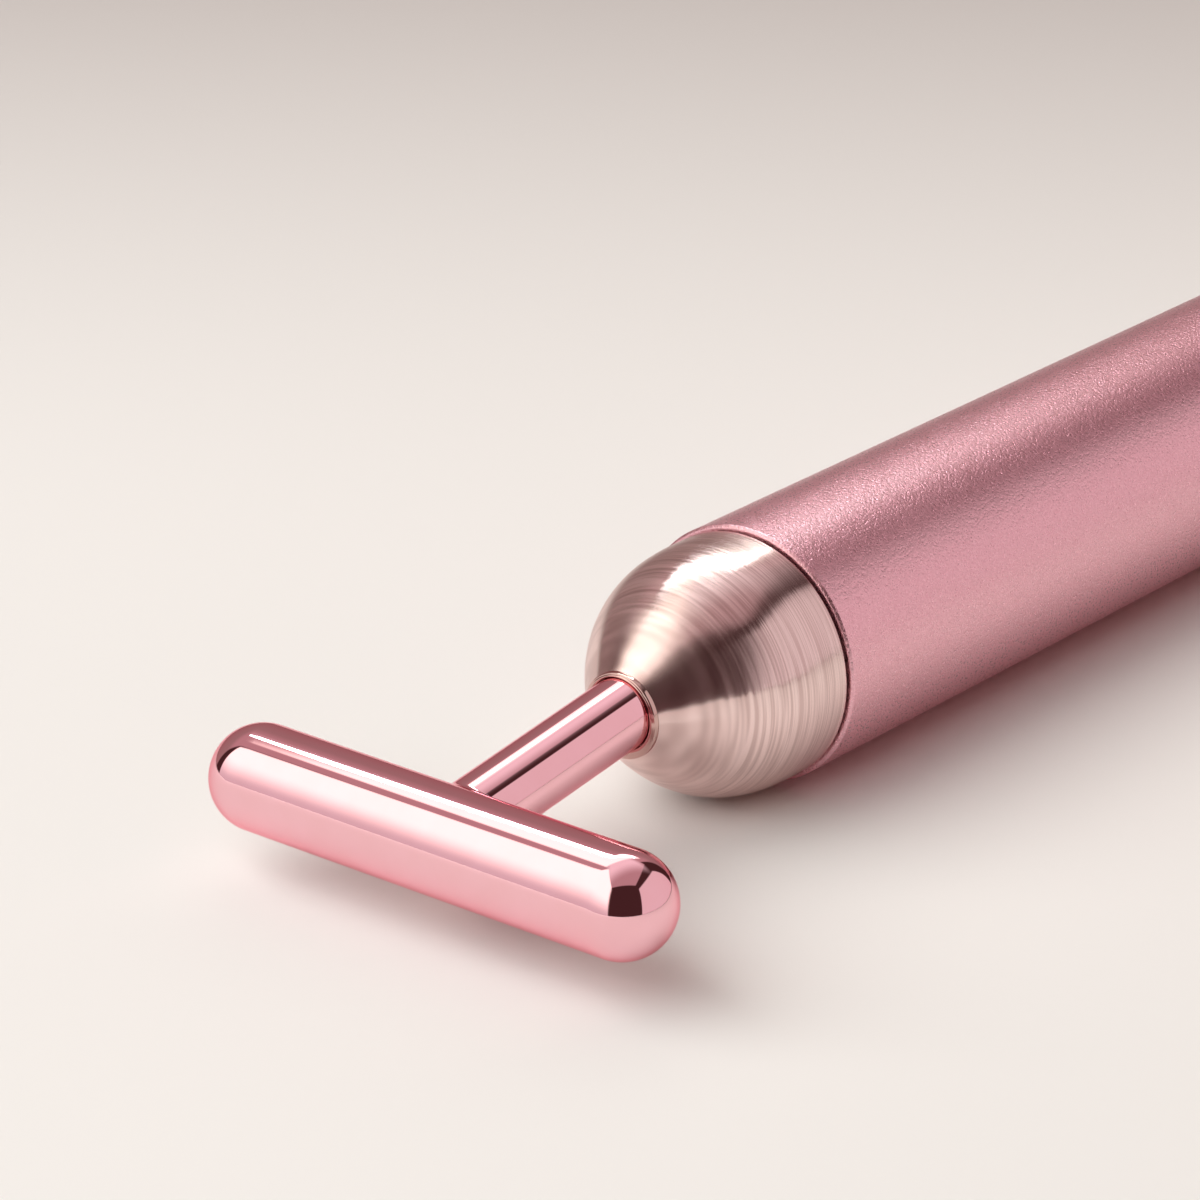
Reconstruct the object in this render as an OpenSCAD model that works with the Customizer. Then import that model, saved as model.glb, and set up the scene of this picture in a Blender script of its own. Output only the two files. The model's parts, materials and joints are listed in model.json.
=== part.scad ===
// Vibrating facial massager: a round barrel with a bell-shaped nose, a short tilted neck and
// a capsule-shaped massage bar. It lies on its side with the bar level across its front.
// X runs from the bar (-) to the tail (+), Z is up, and the barrel rests on Z = 0.

/* [Barrel] */
// Outer diameter of the barrel
barrel_d = 20; // [18:0.2:24]
// Length of the barrel
barrel_len = 98; // [95:1:104]
// Wall of the barrel
barrel_wall = 1.2; // [1:0.1:1.3]
// Chamfer round each end of the barrel
barrel_chamfer = 0.3; // [0.1:0.05:0.5]
// How far the nose and the tail cap stand in from the barrel, all round
rim_step = 0.35; // [0.2:0.05:0.6]

/* [Nose] */
// Length of the nose, from the barrel to the seat of the socket's lip
nose_len = 14.4; // [13.6:0.2:16]
// Straight length of the nose beside the barrel
nose_land = 1.5; // [0.5:0.1:2.5]
// Fullness of the nose: a higher value keeps it wide for longer
nose_fullness = 2.8; // [2.4:0.1:3.4]
// Least metal of the nose's tip beside the neck socket
tip_land = 0.12; // [0.06:0.02:0.3]
// Least metal between the neck socket and the cavity of the nose
tip_floor = 0.6; // [0.4:0.1:1]
// Thickness of the gasket between nose and barrel
gasket_t = 0.25; // [0.15:0.05:0.5]
// How far the gasket stands in from the nose's edge
gasket_inset = 0.3; // [0.1:0.05:0.5]
// How far the coupler reaches into the nose
coupler_depth = 4.3; // [3.6:0.1:4.8]
// How far the coupler reaches into the barrel
coupler_len = 9; // [7:0.5:12]
// Wall of the coupler inside the barrel
coupler_wall = 1.42; // [1.2:0.02:1.6]
// How much thinner the coupler's wall is inside the nose
coupler_step = 0.62; // [0.4:0.02:0.8]

/* [Neck and bar] */
// Diameter of the massage bar
bar_d = 8; // [7:0.2:10]
// Length of the massage bar over its round ends
bar_len = 41; // [36:1:50]
// Diameter of the neck
neck_d = 5.44; // [5.2:0.02:5.6]
// Tilt of the neck below the barrel's axis, in degrees
neck_tilt = 7.8; // [5:0.2:10]
// How far ahead of the nose the neck's axis crosses the barrel's axis
cross_ahead = 1.8; // [1.6:0.1:2.2]
// Distance from that crossing to the axis of the massage bar
neck_reach = 18.9; // [17:0.1:24]
// Diameter of the neck's tenon, which is pressed into the bar
tenon_d = 4; // [3:0.1:4.4]
// How far the tenon reaches past the bar's axis
tenon_past = 0.8; // [0:0.1:1.5]

/* [Stud and socket] */
// Thread diameter of the stud
stud_d = 4; // [3:0.1:4.2]
// Pitch of the stud's thread
stud_pitch = 0.7; // [0.5:0.1:0.8]
// Turns of the stud in its socket
stud_turns = 6; // [4:1:7]
// Length of the stud that is pressed into the neck
stud_hold = 5; // [4:0.5:7]
// Chamfer on the end of the stud
stud_chamfer = 0.4; // [0.2:0.1:0.6]
// Free depth of the socket below the stud
socket_spare = 0.3; // [0.2:0.1:0.6]
// Thickness of the socket's closed end
socket_floor_t = 0.6; // [0.4:0.1:1]
// Wall of the socket round the neck
socket_wall = 0.1; // [0.08:0.01:0.15]
// Height of the socket's lip above the nose
lip_h = 0.45; // [0.35:0.05:0.7]
// Bevel on the socket's lip
lip_bevel = 0.12; // [0.08:0.01:0.15]
// Depth of the neck below the front of the lip, along the neck's axis
neck_sink = 0.9; // [0.7:0.05:1.2]
// Thickness of the washer under the neck
washer_t = 0.25; // [0.2:0.05:0.4]
// How much smaller than the neck the washer is, all round
washer_inset = 0.1; // [0.05:0.05:0.2]

/* [Motor] */
// Wall of the cradle round the motor
cradle_wall = 2.63; // [2.4:0.01:3.1]
// Length of the motor can
motor_len = 20; // [18:0.5:22]
// Wall of the motor can
can_wall = 0.3; // [0.2:0.05:0.4]
// Thickness of the can's closed front
can_face = 0.8; // [0.6:0.1:1.2]
// Outer radius of each shaft bearing
bearing_r = 1.8; // [1.6:0.1:2]
// Wall of the boss round each bearing
boss_wall = 0.4; // [0.3:0.1:0.6]
// Height of the boss on the front of the can
boss_h = 0.8; // [0.5:0.1:1]
// Diameter of the motor shaft
shaft_d = 1.5; // [1.2:0.1:2]
// Radius of the rotor, as a share of the can's inside
rotor_share = 0.75; // [0.72:0.01:0.8]
// How far the magnets reach past the rotor's core, at each end
magnet_past = 0.6; // [0.2:0.1:0.8]
// Gap between the two magnets
magnet_split = 1.6; // [1:0.2:3]
// Air gap between magnets and rotor
air_gap = 0.3; // [0.2:0.05:0.5]
// Free space at each end of the rotor inside the can
rotor_play = 0.4; // [0.35:0.05:0.6]
// Radius of the rotor core's hub, as a share of the rotor's
hub_share = 0.44; // [0.36:0.02:0.46]
// Width of each pole of the rotor
pole_w = 1.4; // [1:0.1:1.6]
// Thickness of each pole's shoe
shoe_t = 0.9; // [0.6:0.1:1]
// Gap between the shoes of neighbouring poles
shoe_split = 2.4; // [1.6:0.1:2.8]
// Thickness of the winding on each side of a pole
winding_t = 0.45; // [0.3:0.05:0.5]
// Radius of the commutator
commutator_r = 1.9; // [1.6:0.1:2.1]
// Length of the commutator
commutator_len = 3.6; // [3:0.1:3.8]
// Thickness of each brush
brush_t = 0.25; // [0.15:0.05:0.35]
// Width of each brush
brush_w = 1.2; // [0.8:0.1:1.6]
// Thickness of the motor's plastic end cap outside the can
end_cap_t = 1; // [0.8:0.1:1.4]
// Depth of the end cap inside the can
end_cap_in = 1.5; // [1.2:0.1:1.8]
// Distance of each motor terminal from the axis
terminal_y = 3.6; // [3:0.1:4]
// Thickness of a motor terminal
terminal_t = 0.4; // [0.3:0.05:0.6]
// Width of a motor terminal
terminal_w = 2; // [1.4:0.1:2.4]
// Length of a motor terminal behind the end cap
terminal_out = 2.5; // [2:0.1:3]

/* [Weight] */
// Thickness of the eccentric weight
weight_len = 5; // [4:0.2:5.4]
// Radius of the eccentric weight's hub
weight_hub_r = 2.2; // [1.8:0.1:2.6]
// Free space round and before the eccentric weight
weight_gap = 0.4; // [0.3:0.05:0.6]
// Depth of the cradle's stop in front of the motor can
stop_lip = 0.4; // [0.3:0.05:0.6]

/* [Leads and board] */
// Free length behind the motor for its terminals and leads
lead_space = 7.4; // [6.6:0.2:9]
// Diameter of an insulated motor lead
lead_d = 1; // [0.8:0.1:1.2]
// Free space between the leads and the cradle, at the board
lead_room = 0.7; // [0.3:0.1:1.2]
// Thickness of the contact board
board_t = 1; // [0.8:0.1:1.6]
// Width of the board's contact rim
rim_w = 0.8; // [0.6:0.1:1.2]
// Width of the slot in the contact rim
rim_slot = 3; // [2:0.5:5]
// Height of the positive contact above the board
contact_h = 2.2; // [1.8:0.1:2.8]
// Radius of the positive contact's plate
contact_r = 3; // [2.8:0.1:3.4]
// Thickness of the positive contact's plate
contact_t = 0.6; // [0.4:0.1:1]
// Radius of the positive contact's raised middle
contact_top_r = 2; // [1.6:0.1:2.3]
// Radius of the positive contact's pin through the board
pin_r = 1; // [0.7:0.1:1.3]

/* [Battery] */
// Wall of the sleeve round the battery
sleeve_wall = 1.25; // [1.1:0.05:1.6]
// Length of the battery with its button
cell_len = 50.3; // [49:0.1:50.5]
// Radius of the battery's button
nub_r = 2.75; // [2.5:0.05:2.75]
// Height of the battery's button
nub_h = 1.4; // [1.2:0.1:1.6]
// Rounding of the battery's edges
cell_edge = 0.6; // [0.3:0.1:0.8]
// Free space round the battery
cell_gap = 0.25; // [0.15:0.05:0.35]
// Thickness of the sleeve's collar in front of the battery
collar_t = 1; // [0.6:0.1:1.1]
// How far the sleeve reaches past the battery
sleeve_past = 0.5; // [0:0.1:1]
// Wire diameter of the battery spring
coil_wire = 0.8; // [0.6:0.1:1]
// Turns of the battery spring
coil_turns = 6; // [4:1:7]

/* [Tail cap] */
// Length of the tail cap beyond the barrel
cap_len = 16; // [15:0.5:20]
// Wall of the tail cap's shell
cap_wall = 1.25; // [1:0.05:1.5]
// Thickness of the shell's end
cap_end_t = 1.95; // [1.6:0.05:2.4]
// Radius of the shell's rounded edge
cap_round = 2; // [1:0.1:2.4]
// Gap between shell and barrel when the cap is tight
cap_gap = 0.1; // [0.05:0.05:0.3]
// Plain length of the core inside the barrel, beside its thread
core_plain = 4; // [3.5:0.1:5.5]
// Pitch of the cap's thread
cap_pitch = 1.5; // [1:0.1:1.5]
// Turns that the cap is screwed in
cap_turns = 3; // [2:1:3]
// Section of the cap's sealing ring
seal_d = 1.2; // [1:0.05:1.3]
// Wall of the core under the sealing ring's groove
groove_floor = 0.64; // [0.5:0.02:0.8]
// Distance of the sealing ring from the end of the barrel
seal_in = 1.6; // [1.4:0.1:2.4]
// Thickness of the core's end wall, in which the button slides
web_t = 2.2; // [2:0.1:2.6]
// Distance of the retainer ring from the front of the core
retainer_in = 0.6; // [0.2:0.1:1]
// Thickness of the retainer ring
retainer_t = 1.7; // [1.4:0.1:2]
// Width of the retainer ring, from its inside to its outside
retainer_w = 1.7; // [1.5:0.1:2.2]
// Depth of the retainer ring's two notches
notch_depth = 0.8; // [0.5:0.1:1]
// Width of the retainer ring's notches
notch_w = 1.4; // [1:0.1:2]
// Length of the retainer ring's notches
notch_len = 1.2; // [0.8:0.1:1.4]
// Free space between the battery spring and the retainer ring
coil_gap = 0.6; // [0.3:0.1:0.8]
// Thickness of the plate under the battery spring
plate_t = 0.5; // [0.4:0.1:0.8]
// How far the plate reaches past the battery spring, all round
plate_past = 0.4; // [0.2:0.1:0.5]

/* [Switch] */
// Thickness of the switch housing's floor, below the plate
floor_t = 1.2; // [0.8:0.1:1.6]
// Thickness of the switch housing's back wall
back_t = 1.5; // [1.2:0.1:1.8]
// Wall of the switch housing
housing_wall = 2.1; // [1.7:0.1:2.4]
// Diameter of the switch plunger
plunger_d = 4; // [3:0.2:4.4]
// How much wider the plunger's foot is, all round
foot_past = 1.2; // [0.8:0.1:1.4]
// Thickness of the plunger's foot
foot_t = 1.5; // [1:0.1:2]
// Free play of the plunger's foot below the back wall
foot_play = 0.1; // [0.05:0.05:0.2]
// Thickness of the contact bridge under the plunger's foot
bridge_t = 0.4; // [0.3:0.05:0.6]
// Distance of the two switch contacts from the axis
post_x = 2; // [1.8:0.1:2.2]
// Width of the switch contacts
post_w = 1; // [0.8:0.1:1.2]
// Gap between bridge and contacts when the button is pressed down
close_gap = 0.1; // [0.05:0.05:0.2]

/* [Button] */
// Diameter of the push button
button_d = 9; // [8:0.2:10]
// Travel of the push button
button_travel = 1.2; // [0.8:0.1:1.5]
// How far the top of the button lies below the end of the tail cap
button_recess = 0.4; // [0.2:0.1:0.8]
// Height of the crown on the button
button_crown = 0.3; // [0.1:0.05:0.4]
// Bevel round the button
button_bevel = 0.5; // [0.2:0.1:0.7]
// How much wider the button's flange is, all round
flange_past = 1.3; // [0.8:0.1:1.4]
// Thickness of the button's flange
flange_t = 1; // [0.8:0.1:1.4]
// Free play of the flange below the core's end wall
flange_play = 0.15; // [0.05:0.05:0.3]
// Section of the button's sealing ring
ring_d = 0.9; // [0.7:0.1:1]
// Distance of the button's sealing ring from the inside of the shell's end
ring_in = 0.55; // [0.5:0.05:0.8]
// Height of the return spring
return_len = 3.7; // [3.3:0.1:4.4]
// Wire diameter of the return spring
return_wire = 0.45; // [0.3:0.05:0.5]
// Turns of the return spring
return_turns = 3; // [2:1:4]
// Distance from the plunger to the middle of the return spring's wire
return_past = 1.2; // [0.8:0.1:1.6]

/* [Fits] */
// Gap all round between threads and other running parts
run_gap = 0.08; // [0.05:0.01:0.1]
// Gap between pieces that are pressed or laid together
seat_gap = 0.02; // [0.01:0.01:0.04]
// Gap all round between plastic parts and the barrel
slip_gap = 0.15; // [0.1:0.05:0.2]
// Gap between the shaft and its bearings, all round
bearing_gap = 0.03; // [0.02:0.01:0.05]
// Free side play of a sealing ring in its groove, both sides together
groove_play = 0.2; // [0.1:0.05:0.3]
// Gap between a spring and each of its seats
spring_gap = 0.08; // [0.05:0.01:0.12]

/* [Hidden] */
$fn = 96;

// Radii round the barrel's axis
barrel_r = barrel_d / 2;
bore_r = barrel_r - barrel_wall;
liner_r = bore_r - slip_gap;
rim_r = barrel_r - rim_step;
spigot_r = bore_r - run_gap;
coupler_bore_r = spigot_r - coupler_wall;
coupler_nose_r = spigot_r - coupler_step;
motor_r = liner_r - cradle_wall - seat_gap;
can_bore_r = motor_r - can_wall;
shaft_r = shaft_d / 2;
rotor_r = can_bore_r * rotor_share;
core_hub_r = rotor_r * hub_share;
lead_spread = motor_r + stop_lip - lead_room - lead_d / 2 - terminal_y;
weight_room_r = motor_r - stop_lip;
weight_r = weight_room_r - weight_gap;
cell_r = liner_r - sleeve_wall - cell_gap;
groove_r = bore_r - 2 * seat_gap - seal_d;
core_bore_r = groove_r - groove_floor;
retainer_bore_r = core_bore_r - seat_gap - retainer_w;
coil_r = retainer_bore_r - coil_gap - coil_wire / 2;
room_r = core_bore_r - seat_gap - housing_wall;
shell_bore_r = rim_r - cap_wall;
plate_r = coil_r + coil_wire / 2 + plate_past;
button_r = button_d / 2;
button_hole_r = button_r + run_gap;
plunger_r = plunger_d / 2;
foot_r = plunger_r + foot_past;

// Places along the neck's axis: 0 is where it crosses the barrel's axis, + is towards the bar
bar_r = bar_d / 2;
neck_r = neck_d / 2;
stud_r = stud_d / 2;
tenon_r = tenon_d / 2;
neck_cross = nose_len + cross_ahead;
lip_front = -nose_len - lip_h;
neck_foot = -(neck_cross + lip_front) / cos(neck_tilt) - neck_sink;
washer_foot = neck_foot - washer_t;
stud_foot = washer_foot - stud_turns * stud_pitch;
socket_floor = stud_foot - socket_spare;
socket_back = socket_floor - socket_floor_t;
socket_r = neck_r + run_gap + socket_wall;
nose_tip_r = cross_ahead * tan(neck_tilt) + (socket_r + seat_gap) / cos(neck_tilt) + tip_land;

// Places along the barrel's axis: 0 is the front end of the barrel, + is towards the tail
cavity_front = tip_floor - neck_cross - socket_back * cos(neck_tilt) + socket_r * sin(neck_tilt);
weight_front = cavity_front + weight_gap;
motor_front = weight_front + weight_len + weight_gap / 2 + boss_h;
motor_back = motor_front + motor_len;
end_cap_back = motor_back + end_cap_t;
terminal_back = end_cap_back + terminal_out;
board_front = motor_back + lead_space;
board_back = board_front + board_t;
cell_front = board_back + contact_h + spring_gap;
cell_back = cell_front + cell_len;
sleeve_back = cell_back + sleeve_past;
tail_end = barrel_len + cap_len;
core_front = barrel_len - core_plain - cap_turns * cap_pitch;
shell_front = barrel_len + cap_gap;
shell_floor = tail_end - cap_end_t;
core_back = shell_floor - seat_gap;
seal_place = barrel_len - seal_in;
web_front = core_back - web_t;
retainer_front = core_front + retainer_in;
housing_front = retainer_front + retainer_t + seat_gap;
room_front = housing_front + plate_t + seat_gap + floor_t;
button_top = tail_end - button_recess;
flange_back = web_front - flange_play;
flange_front = flange_back - flange_t;
housing_back = flange_front - return_len;
room_back = housing_back - back_t;
foot_back = room_back - foot_play;
foot_front = foot_back - foot_t;
bridge_front = foot_front - seat_gap - bridge_t;
post_top = bridge_front - button_travel - close_gap;
ring_place = core_back - ring_in;
commutator_back = motor_back - end_cap_in - rotor_play;
commutator_front = commutator_back - commutator_len;
winding_end = winding_t + seat_gap;
poles_front = motor_front + can_face + rotor_play + winding_end;
poles_back = commutator_front - winding_end - seat_gap;
arm_front = motor_back - end_cap_in - seat_gap - brush_t;

// The whole object, from the front of the bar to the tail, is centred on X = 0
front_end = -neck_cross - neck_reach * cos(neck_tilt) - bar_r;
mid_x = (front_end + tail_end) / 2;

// Puts a piece that is drawn along Z on the barrel's axis: its X points down
module on_axis() {
    translate([-mid_x, 0, barrel_r]) rotate([0, 90, 0]) children();
}

// Puts a piece that is drawn along Z on the neck's axis, + towards the bar
module on_neck() {
    translate([-neck_cross - mid_x, 0, barrel_r]) rotate([0, -90 - neck_tilt, 0]) children();
}

// A solid round bar from one place along Z to another
module rod(r, from, to) {
    translate([0, 0, from]) cylinder(r = r, h = to - from);
}

// A solid round bar with its first end bevelled
module bevelled_rod(r, from, to, bevel) {
    translate([0, 0, from]) cylinder(r1 = r - bevel, r2 = r, h = bevel);
    rod(r, from + bevel, to);
}

// A square bar at a distance along X, from one place along Z to another
module square_rod(x, width, from, to) {
    translate([x - width / 2, -width / 2, from]) cube([width, width, to - from]);
}

// A round tube from one place along Z to another
module tube(outer, inner, from, to) {
    difference() {
        rod(outer, from, to);
        rod(inner, from - 1, to + 1);
    }
}

// A sealing ring of round section whose outside has the given radius
module seal(outer, section, place) {
    translate([0, 0, place]) rotate_extrude()
        translate([outer - section / 2, 0]) circle(d = section, $fn = 32);
}

// Closed triangles over a row of rings that have the same number of points
function tube_faces(rings, sides) = concat(
    [for (i = [0 : rings - 2], j = [0 : sides - 1])
        [i * sides + j, i * sides + (j + 1) % sides, (i + 1) * sides + j]],
    [for (i = [0 : rings - 2], j = [0 : sides - 1])
        [i * sides + (j + 1) % sides, (i + 1) * sides + (j + 1) % sides, (i + 1) * sides + j]],
    [for (j = [1 : sides - 2]) [0, j + 1, j]],
    [for (j = [1 : sides - 2])
        [(rings - 1) * sides, (rings - 1) * sides + j, (rings - 1) * sides + j + 1]]);

// The same triangles, turned inside out
function turned(faces) = [for (f = faces) [f[2], f[1], f[0]]];

// A coil spring of round wire between two seats: each ring of points stands square to the wire
module coil(r, wire, from, to, turns) {
    per_turn = 16;
    sides = 8;
    bottom = from + wire / 2 + spring_gap;
    top = to - wire / 2 - spring_gap;
    pitch = (top - bottom) / turns;
    slope = atan2(pitch, 2 * PI * r);
    points = [for (i = [0 : turns * per_turn], j = [0 : sides - 1])
        let (a = i * 360 / per_turn, out = wire / 2 * cos(j * 360 / sides),
            up = wire / 2 * sin(j * 360 / sides), side = up * sin(slope))
        [(r + out) * cos(a) + side * sin(a), (r + out) * sin(a) - side * cos(a),
         bottom + pitch * i / per_turn + up * cos(slope)]];
    polyhedron(points = points, faces = tube_faces(turns * per_turn + 1, sides));
    echo(str("Spring of ", turns, " turns, gap between turns: ", pitch * cos(slope) - wire));
}

// A lead from a motor terminal to the board, which leaves and arrives straight:
// its distance from the axis grows by lead_spread * (3t^2 - 2t^3) for t from 0 to 1
module lead(side) {
    rings = 13;
    sides = 8;
    from = terminal_back + seat_gap;
    run = board_front - seat_gap - from;
    points = [for (i = [0 : rings - 1], j = [0 : sides - 1])
        let (t = i / (rings - 1), tilt = atan(lead_spread * 6 * t * (1 - t) / run),
            out = lead_d / 2 * cos(j * 360 / sides), across = lead_d / 2 * sin(j * 360 / sides),
            away = terminal_y + lead_spread * (3 * t * t - 2 * t * t * t) + out * cos(tilt))
        [across, away, from + run * t - out * sin(tilt)]];
    mirror([0, side < 0 ? 1 : 0, 0])
        polyhedron(points = points, faces = turned(tube_faces(rings, sides)));
}

// Outer radius of the nose at a distance ahead of the barrel: r = rim * (1 - u^fullness)^3,
// where u grows from 0 at the end of the land and r is nose_tip_r at the seat of the lip
nose_span = (nose_len - nose_land) / pow(1 - pow(nose_tip_r / rim_r, 1 / 3), 1 / nose_fullness);
function nose_r(ahead) =
    rim_r * pow(1 - pow((ahead - nose_land) / nose_span, nose_fullness), 3);

module massage_bar() {
    straight = bar_len - bar_d;
    color("#e39aa8") on_neck() difference() {
        translate([0, 0, neck_reach]) rotate([90, 0, 0]) {
            cylinder(r = bar_r, h = straight, center = true);
            for (side = [-1, 1]) translate([0, 0, side * straight / 2]) sphere(r = bar_r);
        }
        rod(tenon_r + seat_gap, 0, neck_reach + tenon_past + seat_gap);
    }
}

module neck_stem() {
    color("#e39aa8") on_neck() difference() {
        union() {
            difference() {
                rod(neck_r, neck_foot, neck_reach);
                translate([0, 0, neck_reach]) rotate([90, 0, 0])
                    cylinder(r = bar_r + seat_gap, h = 2 * neck_d, center = true);
            }
            rod(tenon_r, neck_reach - bar_d, neck_reach + tenon_past);
        }
        rod(stud_r + seat_gap, neck_foot - 1, neck_foot + stud_hold + seat_gap);
    }
}

module head_stud() {
    color("#c8c8cc") on_neck()
        bevelled_rod(stud_r, stud_foot, neck_foot + stud_hold, stud_chamfer);
}

module neck_washer() {
    color("#3a3236") on_neck() tube(neck_r - washer_inset, stud_r + seat_gap,
        washer_foot + seat_gap, neck_foot - seat_gap);
}

module neck_socket() {
    color("#dcb4ae") difference() {
        union() {
            intersection() {
                on_neck() rod(socket_r, socket_back, 0);
                on_axis() rod(barrel_r, lip_front + lip_bevel, 0);
            }
            on_axis() bevelled_rod(nose_tip_r, lip_front, -nose_len - seat_gap, lip_bevel);
        }
        on_neck() rod(neck_r + run_gap, washer_foot, neck_reach);
        on_neck() rod(stud_r + run_gap, socket_floor, neck_foot);
    }
}

module nose_dome() {
    steps = 28;
    outline = [for (i = [0 : steps]) let (a = nose_land + (nose_len - nose_land) * i / steps)
        [nose_r(a), -a]];
    color("#c9aaa4") difference() {
        on_axis() rotate_extrude()
            polygon(concat([[0, -gasket_t], [rim_r, -gasket_t]], outline, [[0, -nose_len]]));
        on_axis() rod(weight_room_r + slip_gap, cavity_front, 1);
        on_axis() rod(coupler_nose_r + seat_gap, -coupler_depth - seat_gap, 1);
        on_neck() rod(socket_r + seat_gap, socket_back - seat_gap, 0);
    }
}

module nose_gasket() {
    color("#4a2630") on_axis()
        tube(rim_r - gasket_inset, spigot_r + seat_gap, -gasket_t + seat_gap, -seat_gap);
}

module nose_coupler() {
    color("#b9975b") on_axis() difference() {
        union() {
            rod(coupler_nose_r, -coupler_depth, 0);
            rod(spigot_r, -gasket_t + seat_gap, coupler_len);
        }
        rod(coupler_bore_r, -coupler_depth - 1, coupler_len + 1);
    }
}

module barrel() {
    color("#d98f9d") on_axis() difference() {
        union() {
            bevelled_rod(barrel_r, 0, barrel_len - barrel_chamfer, barrel_chamfer);
            translate([0, 0, barrel_len - barrel_chamfer])
                cylinder(r1 = barrel_r, r2 = barrel_r - barrel_chamfer, h = barrel_chamfer);
        }
        rod(bore_r, -1, barrel_len + 1);
    }
}

module motor_cradle() {
    color("#2f2f33") on_axis() difference() {
        union() {
            rod(coupler_bore_r - seat_gap, -coupler_depth, board_front - seat_gap);
            rod(liner_r, coupler_len + slip_gap, board_front - seat_gap);
        }
        rod(weight_room_r, -coupler_depth - 1, board_front);
        rod(motor_r + seat_gap, motor_front - seat_gap, board_front);
        rod(motor_r + stop_lip, motor_back, board_front);
    }
}

module motor_can() {
    color("#b8babd") on_axis() difference() {
        union() {
            rod(motor_r, motor_front, motor_back);
            rod(bearing_r + boss_wall, motor_front - boss_h, motor_back);
        }
        rod(can_bore_r, motor_front + can_face, motor_back + 1);
        rod(bearing_r, motor_front - boss_h - 1, motor_back);
    }
}

module motor_magnets() {
    middle = (poles_front + poles_back) / 2;
    from = poles_front - magnet_past;
    to = poles_back + magnet_past;
    color("#3c3c40") on_axis() difference() {
        tube(can_bore_r - seat_gap, rotor_r + air_gap, from, to);
        translate([0, 0, middle]) cube([magnet_split, barrel_d, motor_len], center = true);
    }
}

module front_bearing() {
    color("#b08d57") on_axis() tube(bearing_r - seat_gap, shaft_r + bearing_gap,
        motor_front - boss_h, motor_front + can_face);
}

module rear_bearing() {
    color("#b08d57") on_axis() tube(bearing_r - seat_gap, shaft_r + bearing_gap,
        motor_back - end_cap_in, end_cap_back);
}

module motor_end_cap() {
    slot = [terminal_w + 2 * seat_gap, terminal_t + 2 * seat_gap, motor_len];
    color("#f1efe9") on_axis() difference() {
        union() {
            rod(can_bore_r - seat_gap, motor_back - end_cap_in, end_cap_back);
            rod(motor_r, motor_back + seat_gap, end_cap_back);
        }
        rod(bearing_r, motor_back - end_cap_in - 1, end_cap_back + 1);
        for (side = [-1, 1]) translate([0, side * terminal_y, motor_back]) cube(slot, center = true);
    }
}

module motor_terminals() {
    color("#c9a14a") on_axis() for (side = [-1, 1])
        translate([-terminal_w / 2, side * terminal_y - terminal_t / 2, arm_front])
            cube([terminal_w, terminal_t, terminal_back - arm_front]);
}

module motor_brushes() {
    inner = commutator_r + run_gap;
    arm = terminal_y - terminal_t / 2 - seat_gap - inner;
    strip_front = commutator_back - commutator_len / 2;
    color("#c9a14a") on_axis() for (side = [-1, 1]) mirror([0, side < 0 ? 1 : 0, 0]) {
        translate([-brush_w / 2, inner, strip_front])
            cube([brush_w, brush_t, arm_front + brush_t - strip_front]);
        translate([-brush_w / 2, inner, arm_front]) cube([brush_w, arm, brush_t]);
    }
}

module motor_shaft() {
    color("#dfe1e4") on_axis() rod(shaft_r, weight_front - weight_gap / 2, end_cap_back);
}

module armature_core() {
    color("#8d8f94") on_axis() difference() {
        translate([0, 0, poles_front]) linear_extrude(height = poles_back - poles_front) {
            circle(r = core_hub_r);
            for (a = [0, 120, 240]) rotate(a)
                translate([0, -pole_w / 2]) square([rotor_r - shoe_t / 2, pole_w]);
            difference() {
                circle(r = rotor_r);
                circle(r = rotor_r - shoe_t);
                for (a = [60, 180, 300]) rotate(a)
                    translate([0, -shoe_split / 2]) square([motor_r, shoe_split]);
            }
        }
        rod(shaft_r + seat_gap, poles_front - 1, poles_back + 1);
    }
}

module armature_windings() {
    half_w = pole_w / 2 + seat_gap + winding_t;
    inner = core_hub_r + seat_gap;
    outer = sqrt(pow(rotor_r - shoe_t, 2) - pow(half_w, 2)) - seat_gap;
    length = poles_back - poles_front;
    pole = [rotor_r, pole_w + 2 * seat_gap, length + 2 * seat_gap];
    color("#b5622c") on_axis() translate([0, 0, poles_front]) for (a = [0, 120, 240]) rotate(a)
        difference() {
            translate([inner, -half_w, -winding_end])
                cube([outer - inner, 2 * half_w, length + 2 * winding_end]);
            translate([0, -pole[1] / 2, -seat_gap]) cube(pole);
        }
}

module commutator() {
    color("#c27a3c") on_axis()
        tube(commutator_r, shaft_r + seat_gap, commutator_front, commutator_back);
}

module eccentric_weight() {
    to = weight_front + weight_len;
    color("#8a8378") on_axis() difference() {
        union() {
            rod(weight_hub_r, weight_front, to);
            intersection() {
                rod(weight_r, weight_front, to);
                translate([0, -weight_r, weight_front]) cube([weight_r, 2 * weight_r, weight_len]);
            }
        }
        rod(shaft_r + seat_gap, weight_front - 1, to + 1);
    }
}

module positive_lead() {
    color("#b3202a") on_axis() lead(1);
}

module negative_lead() {
    color("#1d1d1f") on_axis() lead(-1);
}

module contact_board() {
    color("#2f6b45") on_axis() tube(bore_r - rim_w, pin_r + seat_gap, board_front, board_back);
}

module contact_rim() {
    color("#c9a14a") on_axis() difference() {
        tube(bore_r - seat_gap, bore_r - rim_w + seat_gap, board_front, board_back);
        translate([-rim_slot / 2, 0, board_front - 1]) cube([rim_slot, barrel_r, board_t + 2]);
    }
}

module positive_contact() {
    color("#c9a14a") on_axis() {
        rod(pin_r, board_front, board_back + contact_h);
        rod(contact_r, board_back + seat_gap, board_back + contact_t);
        rod(contact_top_r, board_back + seat_gap, board_back + contact_h);
    }
}

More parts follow.
